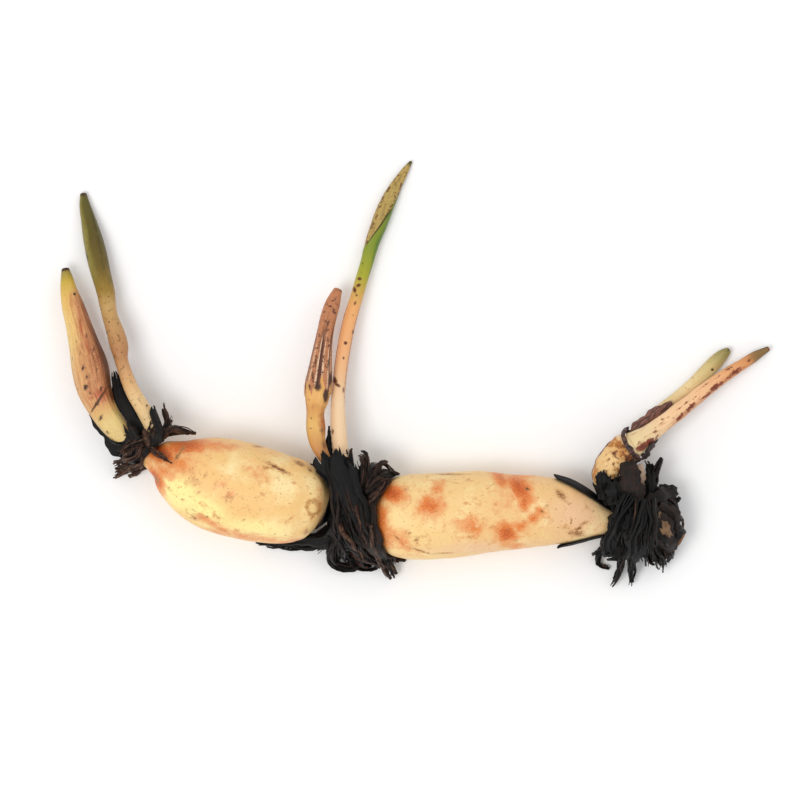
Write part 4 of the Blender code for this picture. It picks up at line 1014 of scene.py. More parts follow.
# %% Side branch
branch = skin(along_path(SIDE_RUNNER, 110), 96, soft_waves, ends=(0.1, 0.05))
a, p = branch["angle"], branch["place"]
collared = between(p, 0.66, 0.80) * (1 - between(p, 0.84, 0.90))
branch["browned"] = 0.45 + 0.5 * collared + 0.3 * between(np.cos(a), 0.2, 0.9)
BRANCH_SPOTS = [
    (79.4, -31.6, 3, 1.8, 40, 0.9), (82, -29, 3.2, 2, 0, 0.9), (84.8, -34, 3.6, 3, -40, 1.1),
    (87, -34.8, 2.6, 2.6, 0, 1.3), (76.2, -42.4, 1.8, 1.8, 0, 1), (79, -36, 1, 0.8, 0, 0.9),
    (81.6, -41, 2.4, 2.6, 0, 1.1), (84.6, -38.6, 3, 2.2, 0, 1.5), (77.6, -33.8, 2.4, 0.6, 50, 0.9),
    (80.6, -33.6, 2.8, 0.7, -40, 1), (83.2, -31.6, 2.6, 0.6, -50, 1),
]
edge = between(-np.cos(a), 0.88, 0.99) * between(p, 0.1, 0.35) * (1 - between(p, 0.7, 0.9))
branch["spotted"] = np.maximum(dabs(branch, BRANCH_SPOTS), 1.3 * edge)
BRANCH_STOPS = [
    (0, "#a97e4c"), (0.25, "#dcb478"), (0.6, "#ebc58a"), (0.82, "#dba866"), (0.92, "#ecd0a0"),
]
BRANCH_STAINS = [
    ("#f3dcb0", 0, "cloud", 1.2, 0.05, 0.5),
    ("#b4702e", "browned", "blots", 3, 0.42, 1),
    # painted shade on the flanks and belly
    ("#8a5a30", "flank_shade", "blots", 1, 0.4, 1.5),
    ("#6a3a20", "spotted", "blots", 2.4, 0.45, 1.2),
    ("#2e1c18", "spotted", "grain", 2, 1.1, 1.7),
]
# living skin that has lain in mud: satin cream with brown blots of 2 mm
branch_skin = living_skin("branch skin, satin cream", BRANCH_STOPS, BRANCH_STAINS, 2.0, 0.44, 0.1, "blots")
dress("side_branch", "side_runner", branch, branch_skin, ("browned", "spotted"))

# %% [markdown]
# ### The pointed shoot
#
# A shoot as sharp as an awl, salmon with fine lengthwise streaks. Brown blotches lie in rows on its lower
# right side, where the sheath rubbed it, and its tip is drying to olive brown.

# %% Pointed shoot
pointed = skin(along_path(SIDE_BUD, 150), 80, soft_waves, ends=(0.1, 0.4))
a, p = pointed["angle"], pointed["place"]
pointed["flushed"] = 0.12 + 0.75 * between(np.cos(a), -0.1, 0.9) * between(p, 0.1, 0.3)
POINTED_SPOTS = [
    (94.2, -27, 3, 1.6, 25, 1.3), (90.8, -29, 2.6, 2, 30, 1.4), (96, -23, 2, 0.8, 30, 0.9),
    (92, -27.4, 2.2, 0.7, -20, 1), (110.2, -13.4, 4.2, 1.1, 42, 1.2), (105.8, -17.4, 3, 0.8, 42, 1.1),
    (120, -5.6, 4.4, 1.1, 40, 1.2), (116.2, -9, 2.4, 0.7, 40, 1), (128.2, 0.6, 4.2, 1, 35, 1.15),
    (125.6, 2.2, 2, 0.8, 20, 0.9), (123, -4, 3, 0.6, 40, 0.8), (134, 5.4, 0.8, 0.7, 0, 1.2),
    (99, -18, 1.2, 0.5, 20, 0.9), (103, -17.8, 2.4, 0.4, 42, 0.8), (112, -9.4, 2.6, 0.4, 40, 0.7),
    (107, -12.6, 4, 0.4, 40, 0.8), (98, -20, 3, 0.4, 40, 0.8), (116, -4.6, 3, 0.4, 38, 0.8),
    (121.6, -1, 2, 0.5, 38, 0.8), (131, 2.2, 2.4, 0.6, 35, 0.9),
]
pointed["spotted"] = np.maximum(dabs(pointed, POINTED_SPOTS), 0.9 * between(p, 0.985, 1.0))
tip_sides = between(p, 0.93, 1.0) * between(np.abs(np.cos(a)), 0.3, 1.0)
pointed["tipped"] = between(p, 0.78, 0.95) + 0.7 * tip_sides
POINTED_STOPS = [
    (0, "#e8cf9c"), (0.1, "#ecd0a0"), (0.22, "#f4cc9e"), (0.5, "#f2c090"), (0.7, "#eaaa74"),
    (0.84, "#d8935a"), (0.97, "#c07e48"),
]
POINTED_STAINS = [
    ("#f6dcb6", 0, "fibres", 1.2, 0.1, 0.6),
    ("#c47c4c", 0, "fibres", 3, 0.14, 0.6),
    ("#d08c5c", "flushed", "fibres", 1.3, 0.3, 1.2),
    # painted shade on the flanks and belly
    ("#a0603c", "flank_shade", "blots", 1, 0.5, 1.6),
    ("#86683a", "tipped", "fibres", 1.4, 0.2, 1),
    ("#3e3018", "tipped", "fibres", 1.4, 1, 1.6),
    ("#843f26", "spotted", "blots", 2.8, 0.35, 0.95),
    ("#662f20", "spotted", "grain", 1.8, 0.85, 1.5),
]
# smooth living stalk: the glossiest skin of the plant, salmon, with fibres a millimetre wide
salmon = living_skin("stalk skin, satin salmon", POINTED_STOPS, POINTED_STAINS, 1.5, 0.4, 0.04)
dress("side_shoot", "side_bud", pointed, salmon, ("flushed", "spotted", "tipped"))

# %% [markdown]
# ### The small leaf and the old stalk
#
# Behind the pointed shoot lies a small rolled leaf, pale as it has seen no light, and greenish at its tip.
# The stub beside the branch is all that is left of an old stalk: dry, beige and streaked with grey.

# %% Small leaf and old stalk
small_leaf = skin(along_path(SIDE_LEAF, 120), 72, rolled_edge)
a, p = small_leaf["angle"], small_leaf["place"]
small_leaf["shaded"] = between(np.cos(a), -0.1, 0.9)
small_leaf["spotted"] = dabs(small_leaf, [(119.4, 1.8, 0.8, 0.7, 0, 1.2), (126.0, 9.8, 1.0, 0.6, 45, 0.9)])
SMALL_STOPS = [
    (0, "#a89064"), (0.25, "#d6ba86"), (0.55, "#ecd29c"), (0.8, "#d0ba7c"), (0.97, "#8a8048"),
]
SMALL_STAINS = [
    ("#ead2a0", 0, "fibres", 1.2, 0.1, 0.6),
    ("#bc9858", 0, "blots", 3, 0.18, 0.7),
    ("#b09a60", "shaded", "fibres", 1.2, 0.4, 1.8),
    # painted shade on the flanks and belly
    ("#7c6038", "flank_shade", "blots", 1, 0.4, 1.6),
    ("#4b3a20", "spotted", "grain", 0.8, 0.4, 0.9),
]
# a leaf blade that grew in the dark: satin beige, with faint blots of 1.5 mm
beige = living_skin("rolled leaf, satin beige", SMALL_STOPS, SMALL_STAINS, 1.5, 0.44, 0.06)
dress("side_leaf_roll", "side_leaf", small_leaf, beige, ("shaded", "spotted"))

stub = skin(along_path(OLD_STALK, 40), 48, soft_waves, ends=(0.1, 0.05))
STUB_STOPS = [(0, "#7a6050"), (0.4, "#c9aa90"), (1, "#d6b89e")]
STUB_STAINS = [
    ("#8a6a54", 0.15, "fibres", 1.4, 0.1, 0.6),
    # painted shade on the flanks and belly
    ("#5c4434", "flank_shade", "blots", 1, 0.3, 1.4),
]
# dead stalk, dried: duller, with fibres that show
stub_skin = living_skin("old stalk, dry beige", STUB_STOPS, STUB_STAINS, 1.5, 0.5, 0.1)
dress("old_stalk_stub", "old_stalk", stub, stub_skin, ())

# %% [markdown]
# ## Thin plates
#
# A scale leaf is a thin sheet that ends in torn teeth. Its middle surface is a grid: place along it one
# way, from edge to edge the other. Each column of the grid stops short by its own amount, which makes the
# teeth. Where the sheet meets a stem it is moved out of it, so it drapes over the stem as a wet leaf does.
# Moving the grid half a thickness to each side and joining the rim closes it.


# %% Plates
def plate(grid, thickness):
    """A closed plate: a grid of points moved half the thickness each way along its normals, with a rim."""
    long, wide = grid.shape[:2]
    normal = np.cross(np.gradient(grid, axis=0), np.gradient(grid, axis=1))
    normal /= np.maximum(np.linalg.norm(normal, axis=2, keepdims=True), 1e-9)
    sides = [grid + normal * thickness / 2, grid - normal * thickness / 2]
    points = np.vstack([side.reshape(-1, 3) for side in sides])
    under = long * wide
    n = np.arange(under).reshape(long, wide)
    top = np.stack([n[:-1, :-1], n[1:, :-1], n[1:, 1:], n[:-1, 1:]], axis=-1).reshape(-1, 4)
    rim = np.concatenate([n[:, 0], n[-1, 1:], n[-2::-1, -1], n[0, -2:0:-1]])
    after = np.roll(rim, -1)
    edge = np.stack([rim, under + rim, under + after, after], axis=-1)
    return {
        "points": points,
        "quads": np.vstack([top, (under + top)[:, ::-1], edge]),
        "triangles": np.zeros((0, 3), int),
    }


x, y = np.meshgrid(np.linspace(0, 10, 5), np.linspace(0, 20, 9), indexing="ij")
card = plate(np.stack([x, y, 0 * x], axis=-1), 0.4)
print(f"a card of 10 by 20 by 0.4 mm encloses {volume(card):.3f} ml")

# %% [markdown]
# ### Draping
#
# What meets a stem is moved out of it. A stem counts as a row of balls along its curve, which come with how
# high the stem is against its width. A simulated cloth would drape too, but only after many frames.


# %% Out of the stems
def clear_of(points, stems, margin):
    """The points, with those that lie in a stem moved straight out of it, three times over."""
    points = points.copy()
    for rows, height in stems * 3:
        away = points[:, None] - rows[None, :, :3]
        away[..., 2] /= height
        distance = np.maximum(np.linalg.norm(away, axis=2), 1e-6)
        depth = rows[None, :, 3] + margin[:, None] - distance
        worst = depth.argmax(axis=1)
        pick = np.arange(len(points))
        push = np.maximum(depth[pick, worst], 0) / distance[pick, worst]
        points += away[pick, worst] * push[:, None] * [1, 1, height]
    return points


ball = [(np.array([[0.0, 0.0, 0.0, 5.0]]), 1.0)]
moved = clear_of(np.array([[0.0, 0.0, 1.0]]), ball, np.array([0.5]))
print(f"with a margin of 0.5 mm, a point in a 5 mm ball ends {np.linalg.norm(moved):.1f} mm from its middle")

# %% [markdown]
# ### Scale leaves
#
# Some leaves lie free, with a droop across and fine creases, and others are bent round a stem. Both take
# their places, widths and directions from a curve, as the stems do. A table row of a free leaf is its
# curve, its droop, how ragged its end is, and its share of brown.


# %% Scale leaves
# in millimetres: how thick a leaf is, and how far it lies from the stem that it wraps
PLATE, GAP = 0.4, 0.35
# points along a leaf and across it, and how many teeth are drawn across its end
LONG, WIDE, TEETH = 40, 17, 9


def torn_rows(rows, places, wide, ragged, draw):
    """Rows for a grid over a leaf whose columns stop short: column v ends at 1 - ragged times its tooth."""
    tooth = np.interp(np.linspace(0, 1, wide), np.linspace(0, 1, TEETH), draw.uniform(0, 1, TEETH))
    at = np.linspace(0, 1, places)[:, None] * (1 - ragged * tooth)
    own = np.linspace(0, 1, len(rows))
    return np.stack([np.interp(at, own, rows[:, k]) for k in range(rows.shape[1])], axis=-1), at


def flat_leaf(stations, cup, ragged, stems, draw):
    """A scale leaf that lies free: half-width times v to the right, drooping by cup v², with fine creases
    and a wavy edge, and draped over the stems."""
    rows = along_path(stations, 60)
    _, right, up = frames(rows[:, :3])
    grid, at = torn_rows(np.hstack([rows, right, up]), LONG, WIDE, ragged, draw)
    v = np.linspace(-1, 1, WIDE)[None, :]
    phase = draw.uniform(0, 6, 5)
    crease = 0.2 * np.sin(6 * v + phase[0] + 2 * at) + 0.1 * np.sin(11 * v + phase[1] - 3 * at)
    lift = crease + 0.35 * np.sin(9 * at + phase[2]) - cup * grid[..., 3] * v**2
    wide = grid[..., 3] * v * (1 + 0.14 * np.sin(17 * at + phase[3] + v) + 0.07 * np.sin(41 * at + phase[4]))
    middle = grid[..., :3] + wide[..., None] * grid[..., 4:7] + lift[..., None] * grid[..., 7:10]
    flat = middle.reshape(-1, 3)
    draped = clear_of(flat, stems, np.full(len(flat), PLATE + 0.15)).reshape(middle.shape)
    return plate(draped, PLATE)


def wrapped_leaf(rows, height, middle, spread, tip, ragged, draw):
    """A scale leaf bent round a stem: it spans some degrees about its middle, and narrows to its tip."""
    _, right, up = frames(rows[:, :3])
    grid, at = torn_rows(np.hstack([rows, right, up]), LONG, WIDE, ragged, draw)
    v = np.linspace(-1, 1, WIDE)[None, :]
    half = np.radians(spread) * (tip + (1 - tip) * np.sqrt(np.clip(1 - at**3, 0, 1)))
    angle = np.radians(middle) + half * v
    phase = draw.uniform(0, 6, 2)
    crease = 0.14 * (np.sin(11 * v + phase[0] + 2 * at) + np.sin(23 * v + phase[1])) + 0.9 * at**5
    reach = grid[..., 3] + GAP + PLATE + np.maximum(crease, -0.2)
    side = (reach * np.cos(angle))[..., None] * grid[..., 4:7]
    return plate(grid[..., :3] + side + (height * reach * np.sin(angle))[..., None] * grid[..., 7:10], PLATE)


def free_leaves(table, stems, draw):
    """The leaves of a table, each with its share of brown."""
    return [(flat_leaf(path, cup, ragged, stems, draw), share) for path, cup, ragged, share in table]


print(f"a scale leaf is {PLATE} mm thick, with {2 * LONG * WIDE} points")

# %% [markdown]
# ## Roots
#
# A node carries hundreds of thin roots. Modelling each by hand isn't possible, and a hair system would not
# be a mesh. Here all the roots of a tuft are one array, strand by place by x, y, z, so one formula makes
# them together. A root has five sides, because there are so many. Some are flat like strips of dead sheath.


# %% Strands
# points along a root, and round it
PLACES, SIDES = 14, 5


def strands(paths, radius, flat, tint, draw):
    """Thin closed tubes along many paths at once. A tube's section is an oval, `flat` times wider than a
    circle and as much thinner, which turns slowly along it."""
    count = len(paths)
    _, right, up = frames(paths)
    around = 2 * np.pi * np.arange(SIDES) / SIDES
    roll = draw.uniform(0, np.pi, (count, 1))
    roll = roll + draw.uniform(-1.5, 1.5, (count, 1)) * np.linspace(0, 1, PLACES)
    wide = flat[:, None, None] * np.cos(around) * radius[..., None]
    thin = np.sin(around) / flat[:, None, None] * radius[..., None]
    x = wide * np.cos(roll)[..., None] - thin * np.sin(roll)[..., None]
    y = wide * np.sin(roll)[..., None] + thin * np.cos(roll)[..., None]
    rings = paths[:, :, None] + x[..., None] * right[:, :, None] + y[..., None] * up[:, :, None]
    each = PLACES * SIDES + 2
    points = np.concatenate([rings.reshape(count, -1, 3), paths[:, :1], paths[:, -1:]], axis=1)
    quads, triangles = round_faces(PLACES, SIDES)
    first = each * np.arange(count)[:, None, None]
    return {
        "points": points.reshape(-1, 3),
        "quads": (quads[None] + first).reshape(-1, 4),
        "triangles": (triangles[None] + first).reshape(-1, 3),
        "tint": np.repeat(tint, each),
    }


print("a root has", 2 * SIDES * (PLACES - 1) + 2 * SIDES, "triangles")

# %% [markdown]
# ### Bundles
#
# Wet roots cling together in locks, so each root follows its lock and strays from it a little. A bundle
# of them follows a curve. A row for a bundle is its curve, its half-width at both ends, how many thick
# roots it has, and their radius.


# %% Bundles
THIN_PER_THICK = 7  # all roots of a bundle for each thick one
BUNDLE_LOCKS = 5


def bundle(path, start, end, count, radius, draw):
    """Roots about one path. Each keeps a place in the bundle, whose width goes from start to end, and
    winds round the path. It stops at its own length, and wanders by a slow wave. A few are as thick as
    `radius`, and the others are much thinner."""
    control = np.array(path)
    reach = distances(control)
    many = count * THIN_PER_THICK
    t = np.linspace(0, 1, PLACES)
    where = t * reach[-1] * draw.uniform(0.72, 1.0, (many, 1))
    middle = spline(control, reach, where.ravel()).reshape(many, PLACES, 3)
    _, right, up = frames(middle)
    lock = draw.uniform(0, 2 * np.pi, BUNDLE_LOCKS)[np.arange(many) % BUNDLE_LOCKS, None]
    lock = lock + draw.normal(0, 0.5, (many, 1))
    turn = lock + draw.uniform(-2.2, 2.2) * t + 0.5 * np.sin(5 * t + lock)
    off = np.sqrt(draw.uniform(0.02, 1, (many, 1))) * (start + (end - start) * t + 0.4)
    paths = middle + (np.cos(turn) * off)[..., None] * right + (np.sin(turn) * off)[..., None] * up
    wave = draw.uniform(0, 6, (many, 1, 3)) + where[..., None] * draw.uniform(0.25, 0.8, (many, 1, 3))
    paths += 0.4 * np.sin(wave) * np.clip(4 * t, 0, 1)[:, None]
    leading = np.arange(many) < count
    thick = np.where(leading, 0.75 * radius, draw.uniform(0.22, 0.6, many))
    flat = np.where(leading, 1.0, draw.uniform(1.0, 2.6, many))
    return paths, thick[:, None] * np.linspace(1, 0.45, PLACES) ** 0.8, flat


paths, radius, _ = bundle([(0, 0, 20), (20, 0, 20), (40, 0, 20)], 1, 1, 3, 0.8, np.random.default_rng(1))
print(f"a test bundle: {len(paths)} roots, {2 * radius.min():.1f} to {2 * radius.max():.1f} mm thick")

# %% [markdown]
# ### Roots combed over a mat
#
# A mat is an egg-shaped dark body whose roots run over it from one pole to the other, in locks too. A row
# for a mat is its centre, its half-sizes, the way that its roots run, and a tenth of their number.


# %% Mats
ROOTS_IN_LOCK = 7
CORE_SHARE = 0.91  # the dark body against the roots around it


def mat_axes(run):
    """The direction that a mat's roots run in, and two directions across it."""
    run = np.array(run) / np.linalg.norm(run)
    side = np.cross(run, [0.0, 0.0, 1.0])
    side /= np.linalg.norm(side)
    return run, side, np.cross(side, run)


def combed(centre, half_sizes, run, count, draw):
    """Roots over a mat: from one pole of an egg towards the other, in locks that start, end, sway and lift
    off its surface together."""
    run, side, up = mat_axes(run)
    t = np.linspace(0, 1, PLACES)
    lock = np.arange(count) // ROOTS_IN_LOCK
    shared = draw.uniform(0, 1, (lock[-1] + 1, 6))[lock]
    start = 0.15 + 0.9 * shared[:, :1] + draw.normal(0, 0.08, (count, 1))
    stop = 1.7 + 1.1 * shared[:, 1:2] + draw.normal(0, 0.12, (count, 1))
    polar = start + (stop - start) * t
    stray = draw.normal(0, 0.17, (count, 1)) * (1 - 0.65 * t) + draw.normal(0, 0.1, (count, 1)) * t**3
    sway = 0.30 * np.sin((1.5 + 3 * shared[:, 3:4]) * t + 6 * shared[:, 4:5])
    turn = 2 * np.pi * shared[:, 2:3] + 0.3 * polar + sway + stray
    around = np.cos(turn)[..., None] * side + np.sin(turn)[..., None] * up
    unit = np.sin(polar)[..., None] * around - np.cos(polar)[..., None] * run
    lift = 0.92 + 0.14 * shared[:, 5:6] + draw.uniform(0, 0.06, (count, 1)) + 0.16 * shared[:, 3:4] * t**5
    paths = np.array(centre) + np.array(half_sizes) * unit * lift[..., None]
    radius = draw.uniform(0.25, 0.7, (count, 1)) * (np.linspace(1, 0.4, PLACES) ** 0.7)
    return paths, radius, draw.uniform(1.0, 2.6, count)


def core(centre, half_sizes, run, draw):
    """The dark inside of a mat, a little smaller than it, in low ridges that run the roots' way."""
    run, side, up = mat_axes(run)
    rings, sides = 22, 52
    polar = np.linspace(0, np.pi, rings + 2)[1:-1, None]
    turn = 2 * np.pi * np.arange(sides) / sides
    ridge = 1 + 0.05 * np.sin(15 * turn + draw.uniform(0, 6)) + 0.04 * np.sin(23 * turn + 2 * polar)
    twist = turn + 0.3 * polar
    around = np.cos(twist)[..., None] * side + np.sin(twist)[..., None] * up
    unit = np.sin(polar)[..., None] * ridge[..., None] * around - np.cos(polar)[..., None] * run
    quads, triangles = round_faces(rings, sides)
    points = np.vstack([unit.reshape(-1, 3), -run, run]) * CORE_SHARE * np.array(half_sizes)
    return {"points": points + np.array(centre), "quads": quads, "triangles": triangles}


paths, radius, _ = combed((0, 0, 20), (10, 10, 10), (1, 0, 0), 70, np.random.default_rng(1))
print(f"a test mat: {len(paths)} roots, {2 * radius.min():.1f} to {2 * radius.max():.1f} mm thick")

# %% [markdown]
# ### Several surfaces as one
#
# A tuft is one node, so its mats, roots and leaves become one mesh. They carry two marks: `tint` is a
# part's share of brown, and `leafy` is 1 on scale leaves, which are a little duller than roots.


# %% Join surfaces
def joined(parts):
    """Several surfaces as one: points one after another, with each part's faces counted on from them."""
    firsts = np.cumsum([0] + [len(part["points"]) for part in parts[:-1]])
    whole = {"points": np.vstack([part["points"] for part in parts])}
    for key in ("quads", "triangles"):
        whole[key] = np.vstack([part[key] + first for part, first in zip(parts, firsts)])
    whole["tint"] = np.concatenate([part["tint"] for part in parts])
    whole["leafy"] = np.concatenate([np.full(len(part["points"]), part["leafy"]) for part in parts])
    return whole


pair = joined([{**card, "tint": np.zeros(len(card["points"])), "leafy": 1.0}] * 2)
print(f"two cards as one surface: {len(pair['points'])} points, {len(pair['quads'])} quads")

# %% [markdown]
# ## The tufts
#
# Each tuft is a few dark mats with roots combed over them, bundles of roots that stand out, and torn
# scale leaves. They wrap the nodes from above, below and both sides. Roots that a draw would put into the
# rhizome or a shoot are moved out of it, and what would be under the table is lifted onto it.


# %% Build a tuft
ROOTS_PER_RIB = 10
CORE_TINT = 0.02
BROWNEST = 0.72  # no root is browner


def tuft(mats, bundles, leaves, stems, brown, bare, draw):
    """One tuft. `brown` gives a root's share of brown from where its middle is, and draw's noise varies it.
    Each leaf comes with its own share. Roots that pass over one of the `bare` spots, each x, y and radius,
    are left out."""
    parts = []
    for centre, half_sizes, run, ribs in mats:
        inside = core(centre, half_sizes, run, draw)
        inside["points"] = clear_of(inside["points"], stems, np.full(len(inside["points"]), 0.3))
        inside["tint"] = np.full(len(inside["points"]), CORE_TINT)
        parts.append({**inside, "leafy": 0.0})
    grown = [combed(*mat, ROOTS_PER_RIB * ribs, draw) for *mat, ribs in mats]
    grown += [bundle(*spec, draw) for spec in bundles]
    paths, radius, flat = (np.concatenate([group[k] for group in grown]) for k in range(3))
    spots = np.array(bare)
    away = np.linalg.norm(paths[:, :, None, :2] - spots[:, :2], axis=3).min(axis=1)
    keep = (away > spots[:, 2]).all(axis=1)
    paths, radius, flat = paths[keep], radius[keep], flat[keep]
    margin = (radius + 0.25).ravel()
    paths = clear_of(paths.reshape(-1, 3), stems, margin).reshape(paths.shape)
    paths[..., 2] = np.maximum(paths[..., 2], radius * 0.9)
    tint = np.clip(brown(paths[:, PLACES // 2]) + draw.normal(0, 0.2, len(paths)), 0, BROWNEST)
    parts.append({**strands(paths, radius, flat, tint, draw), "leafy": 0.0})
    for leaf, share in leaves:
        leaf["tint"] = np.full(len(leaf["points"]), share)
        parts.append({**leaf, "leafy": 1.0})
    whole = joined(parts)
    print(f"{len(paths)} roots, {len(leaves)} scale leaves")
    return whole


# %% [markdown]
# ### Dead roots and scale leaves
#
# Wet, dead root tissue is nearly black, with brown and red-brown among it where the outer layer has worn
# off, and it has a dull leathery sheen that catches light along each root. Every root has its own share of
# brown, kept as a mark on its points, so neighbours differ as they do in life.


# %% Root material
ROOT_STOPS = [
    (0, "#080707"), (0.3, "#120f0c"), (0.5, "#2a1b14"), (0.72, "#4a3026"), (1, "#86684a"),
]


def dead_roots():
    """Leathery dead tissue: black to brown by the mark `tint`, mottled, with a low sheen."""
    material, tree, surface = new_material("dead roots, leathery black")
    coordinates = add(tree, "TexCoord", {}).outputs["Object"]
    mm = add(tree, "Mapping", {"Vector": coordinates, "Scale": (1000, 1000, 1000)}).outputs["Vector"]
    noise = noises(tree, mm, 1.6)
    tint = add(tree, "Attribute", {}, attribute_name="tint").outputs["Fac"]
    leafy = add(tree, "Attribute", {}, attribute_name="leafy").outputs["Fac"]
    shade = add(tree, "Math", {0: noise["blots"], 1: 0.9, 2: -0.45}, operation="MULTIPLY_ADD").outputs[0]
    shade = add(tree, "Math", {0: shade, 1: tint}, operation="ADD").outputs[0]
    bump = {"Height": noise["grain"], "Strength": 0.6, "Distance": 0.0004}
    bump = add(tree, "Bump", bump).outputs["Normal"]
    gloss = add(tree, "MapRange", {"Value": noise["blots"], "To Min": 0.2, "To Max": 0.6}).outputs["Result"]
    gloss = add(tree, "Math", {0: leafy, 1: 0.1, 2: gloss}, operation="MULTIPLY_ADD").outputs[0]
    colour = set_stops(add(tree, "ValToRGB", {"Fac": shade}), ROOT_STOPS)
    look = {"Base Color": colour, "Roughness": gloss, "Specular IOR Level": 0.22, "Normal": bump}
    tree.links.new(add(tree, "BsdfPrincipled", look).outputs["BSDF"], surface)
    print(f"{material.name}: {len(tree.nodes)} nodes")
    return material


# dead wet tissue: black to brown, with a low sheen that catches the light along each root
black = dead_roots()

# %% [markdown]
# ### What the tufts grow round
#
# Every tuft is pushed clear of the rhizome and of the shoots that stand in it. Each of those is a row of
# balls along its curve, with how high its section is against its width. All draws come from one seeded
# generator, so the roots fall the same way each time.

# %% Stems to stay clear of
ROOT_SEED = 11
draw = np.random.default_rng(ROOT_SEED)
body = [(along_path(RHIZOME, 150), HEIGHT)]
stem_rows = {
    "terminal_bud": (along_path(TERMINAL_BUD, 40), 1.0),
    "head_leaf": (along_path(HEAD_LEAF, 50), 1.0),
    "middle_bud": (along_path(MIDDLE_BUD, 40), 1.0),
    "middle_leaf": (along_path(MIDDLE_LEAF, 60), 1.0),
    "side_runner": (along_path(SIDE_RUNNER, 30), 1.0),
    "old_stalk": (along_path(OLD_STALK, 20), 1.0),
}
print("stems in the tufts:", ", ".join(stem_rows))

# %% [markdown]
# ### The head tuft
#
# At the growing end the scale leaves show most: a long black one between the two shoots, one that cups the
# bud from below, and one up the leaf's side. The roots are short and spread to the lower left.

# %% Head tuft
HEAD_INNER_SCALE = [
    (-105, -28, 18, 4.6), (-110.2, -22.4, 17.6, 5), (-114.6, -16.4, 16.8, 4.6),
    (-117.4, -10.4, 15.8, 3.6), (-119.2, -4.4, 15, 2.3), (-120.3, 1.4, 14.4, 0.8),
]
HEAD_OUTER_SCALE = [
    (-108, -32.4, 12.4, 3.6), (-113.4, -31, 11.4, 5.2), (-119, -27.4, 10.6, 4.6),
    (-123.2, -22.8, 10.2, 3.3), (-127, -19.2, 10, 2.2), (-130.2, -15.4, 9.8, 0.7),
]
HEAD_MATS = [
    ((-110.6, -30.4, 15.6), (7.2, 6.8, 7.8), (-0.8, -0.6, -0.3), 9),
    ((-104.8, -26, 18.2), (4.6, 5, 4.8), (0.5, 0.8, 0.1), 7),
]
HEAD_ROOTS = [
    ([(-103.5, -27, 16), (-99.8, -20, 17), (-100.8, -11.2, 16.5)], 0.3, 0.2, 1, 1.4),
    ([(-103, -27, 20), (-97, -21.6, 21), (-91, -22.8, 20), (-86.6, -24.6, 19)], 0.6, 0.7, 2, 0.7),
    ([(-103.5, -28, 17), (-97, -23.6, 17.5), (-90.4, -24.8, 17)], 0.6, 0.7, 2, 0.7),
    ([(-103.5, -26, 19), (-98.4, -19.6, 18), (-97.2, -16.6, 17)], 0.5, 0.6, 2, 0.8),
    ([(-110, -33, 15), (-115, -34.6, 12), (-120.8, -36.6, 8.5)], 1.6, 1.8, 4, 0.9),
    ([(-110, -34, 11), (-115, -37.4, 7), (-121.4, -41, 3)], 1.2, 1, 3, 0.9),
    ([(-106, -35, 11), (-110.5, -38, 6), (-115, -41, 2)], 1.2, 1.4, 3, 0.8),
    ([(-104.6, -30.4, 23), (-100.4, -33.2, 27), (-96.4, -36.2, 30.5)], 0.5, 0.4, 1, 0.8),
]
near = body + [stem_rows["terminal_bud"], stem_rows["head_leaf"]]
# one over the bud's foot, and two beside the leaf's foot
HEAD_FLAPS = [
    ([(-106.4, -34, 20, 2), (-112, -31.4, 19.6, 2.4), (-117.6, -27.8, 18.6, 2),
      (-121.8, -24.4, 17.4, 0.8)], 0.3, 0.1, 0.3),
    ([(-104, -30, 23.6, 2.6), (-103, -24, 24.2, 2.8), (-103.2, -18.6, 23.2, 2.2)], 0.3, 0.45, 0.3),
    ([(-106, -32, 23, 2.6), (-111.6, -26, 22.6, 2.8), (-115.8, -19, 21.4, 2.2)], 0.5, 0.4, 0.3),
]
# x, y and radius of a place that no root crosses
HEAD_BARE = [(-124, -26, 2)]


def head_brown(at):
    """The head tuft's roots are brown, and more so towards its foot."""
    return 0.68 - 0.016 * (at[:, 1] + 30)


leaves = [
    (flat_leaf(HEAD_INNER_SCALE, 0.25, 0.12, near, draw), 0.12),
    (flat_leaf(HEAD_OUTER_SCALE, 0.2, 0.08, near, draw), 0.10),
    (wrapped_leaf(along_path(HEAD_LEAF[:3], 30), 1.0, 5, 70, 0.3, 0.4, draw), 0.2),
]
leaves += free_leaves(HEAD_FLAPS, near, draw)
head = tuft(HEAD_MATS, HEAD_ROOTS, leaves, near, head_brown, HEAD_BARE, draw)
put("head_tuft_roots", "head_tuft", head, black, ("tint", "leafy"))

# %% [markdown]
# ### The middle tuft
#
# The thickest tuft wraps the neck between the internodes. The roots on top run across the neck like a
# bandage, and they end below in loops and knots. Towards the right they are brown.

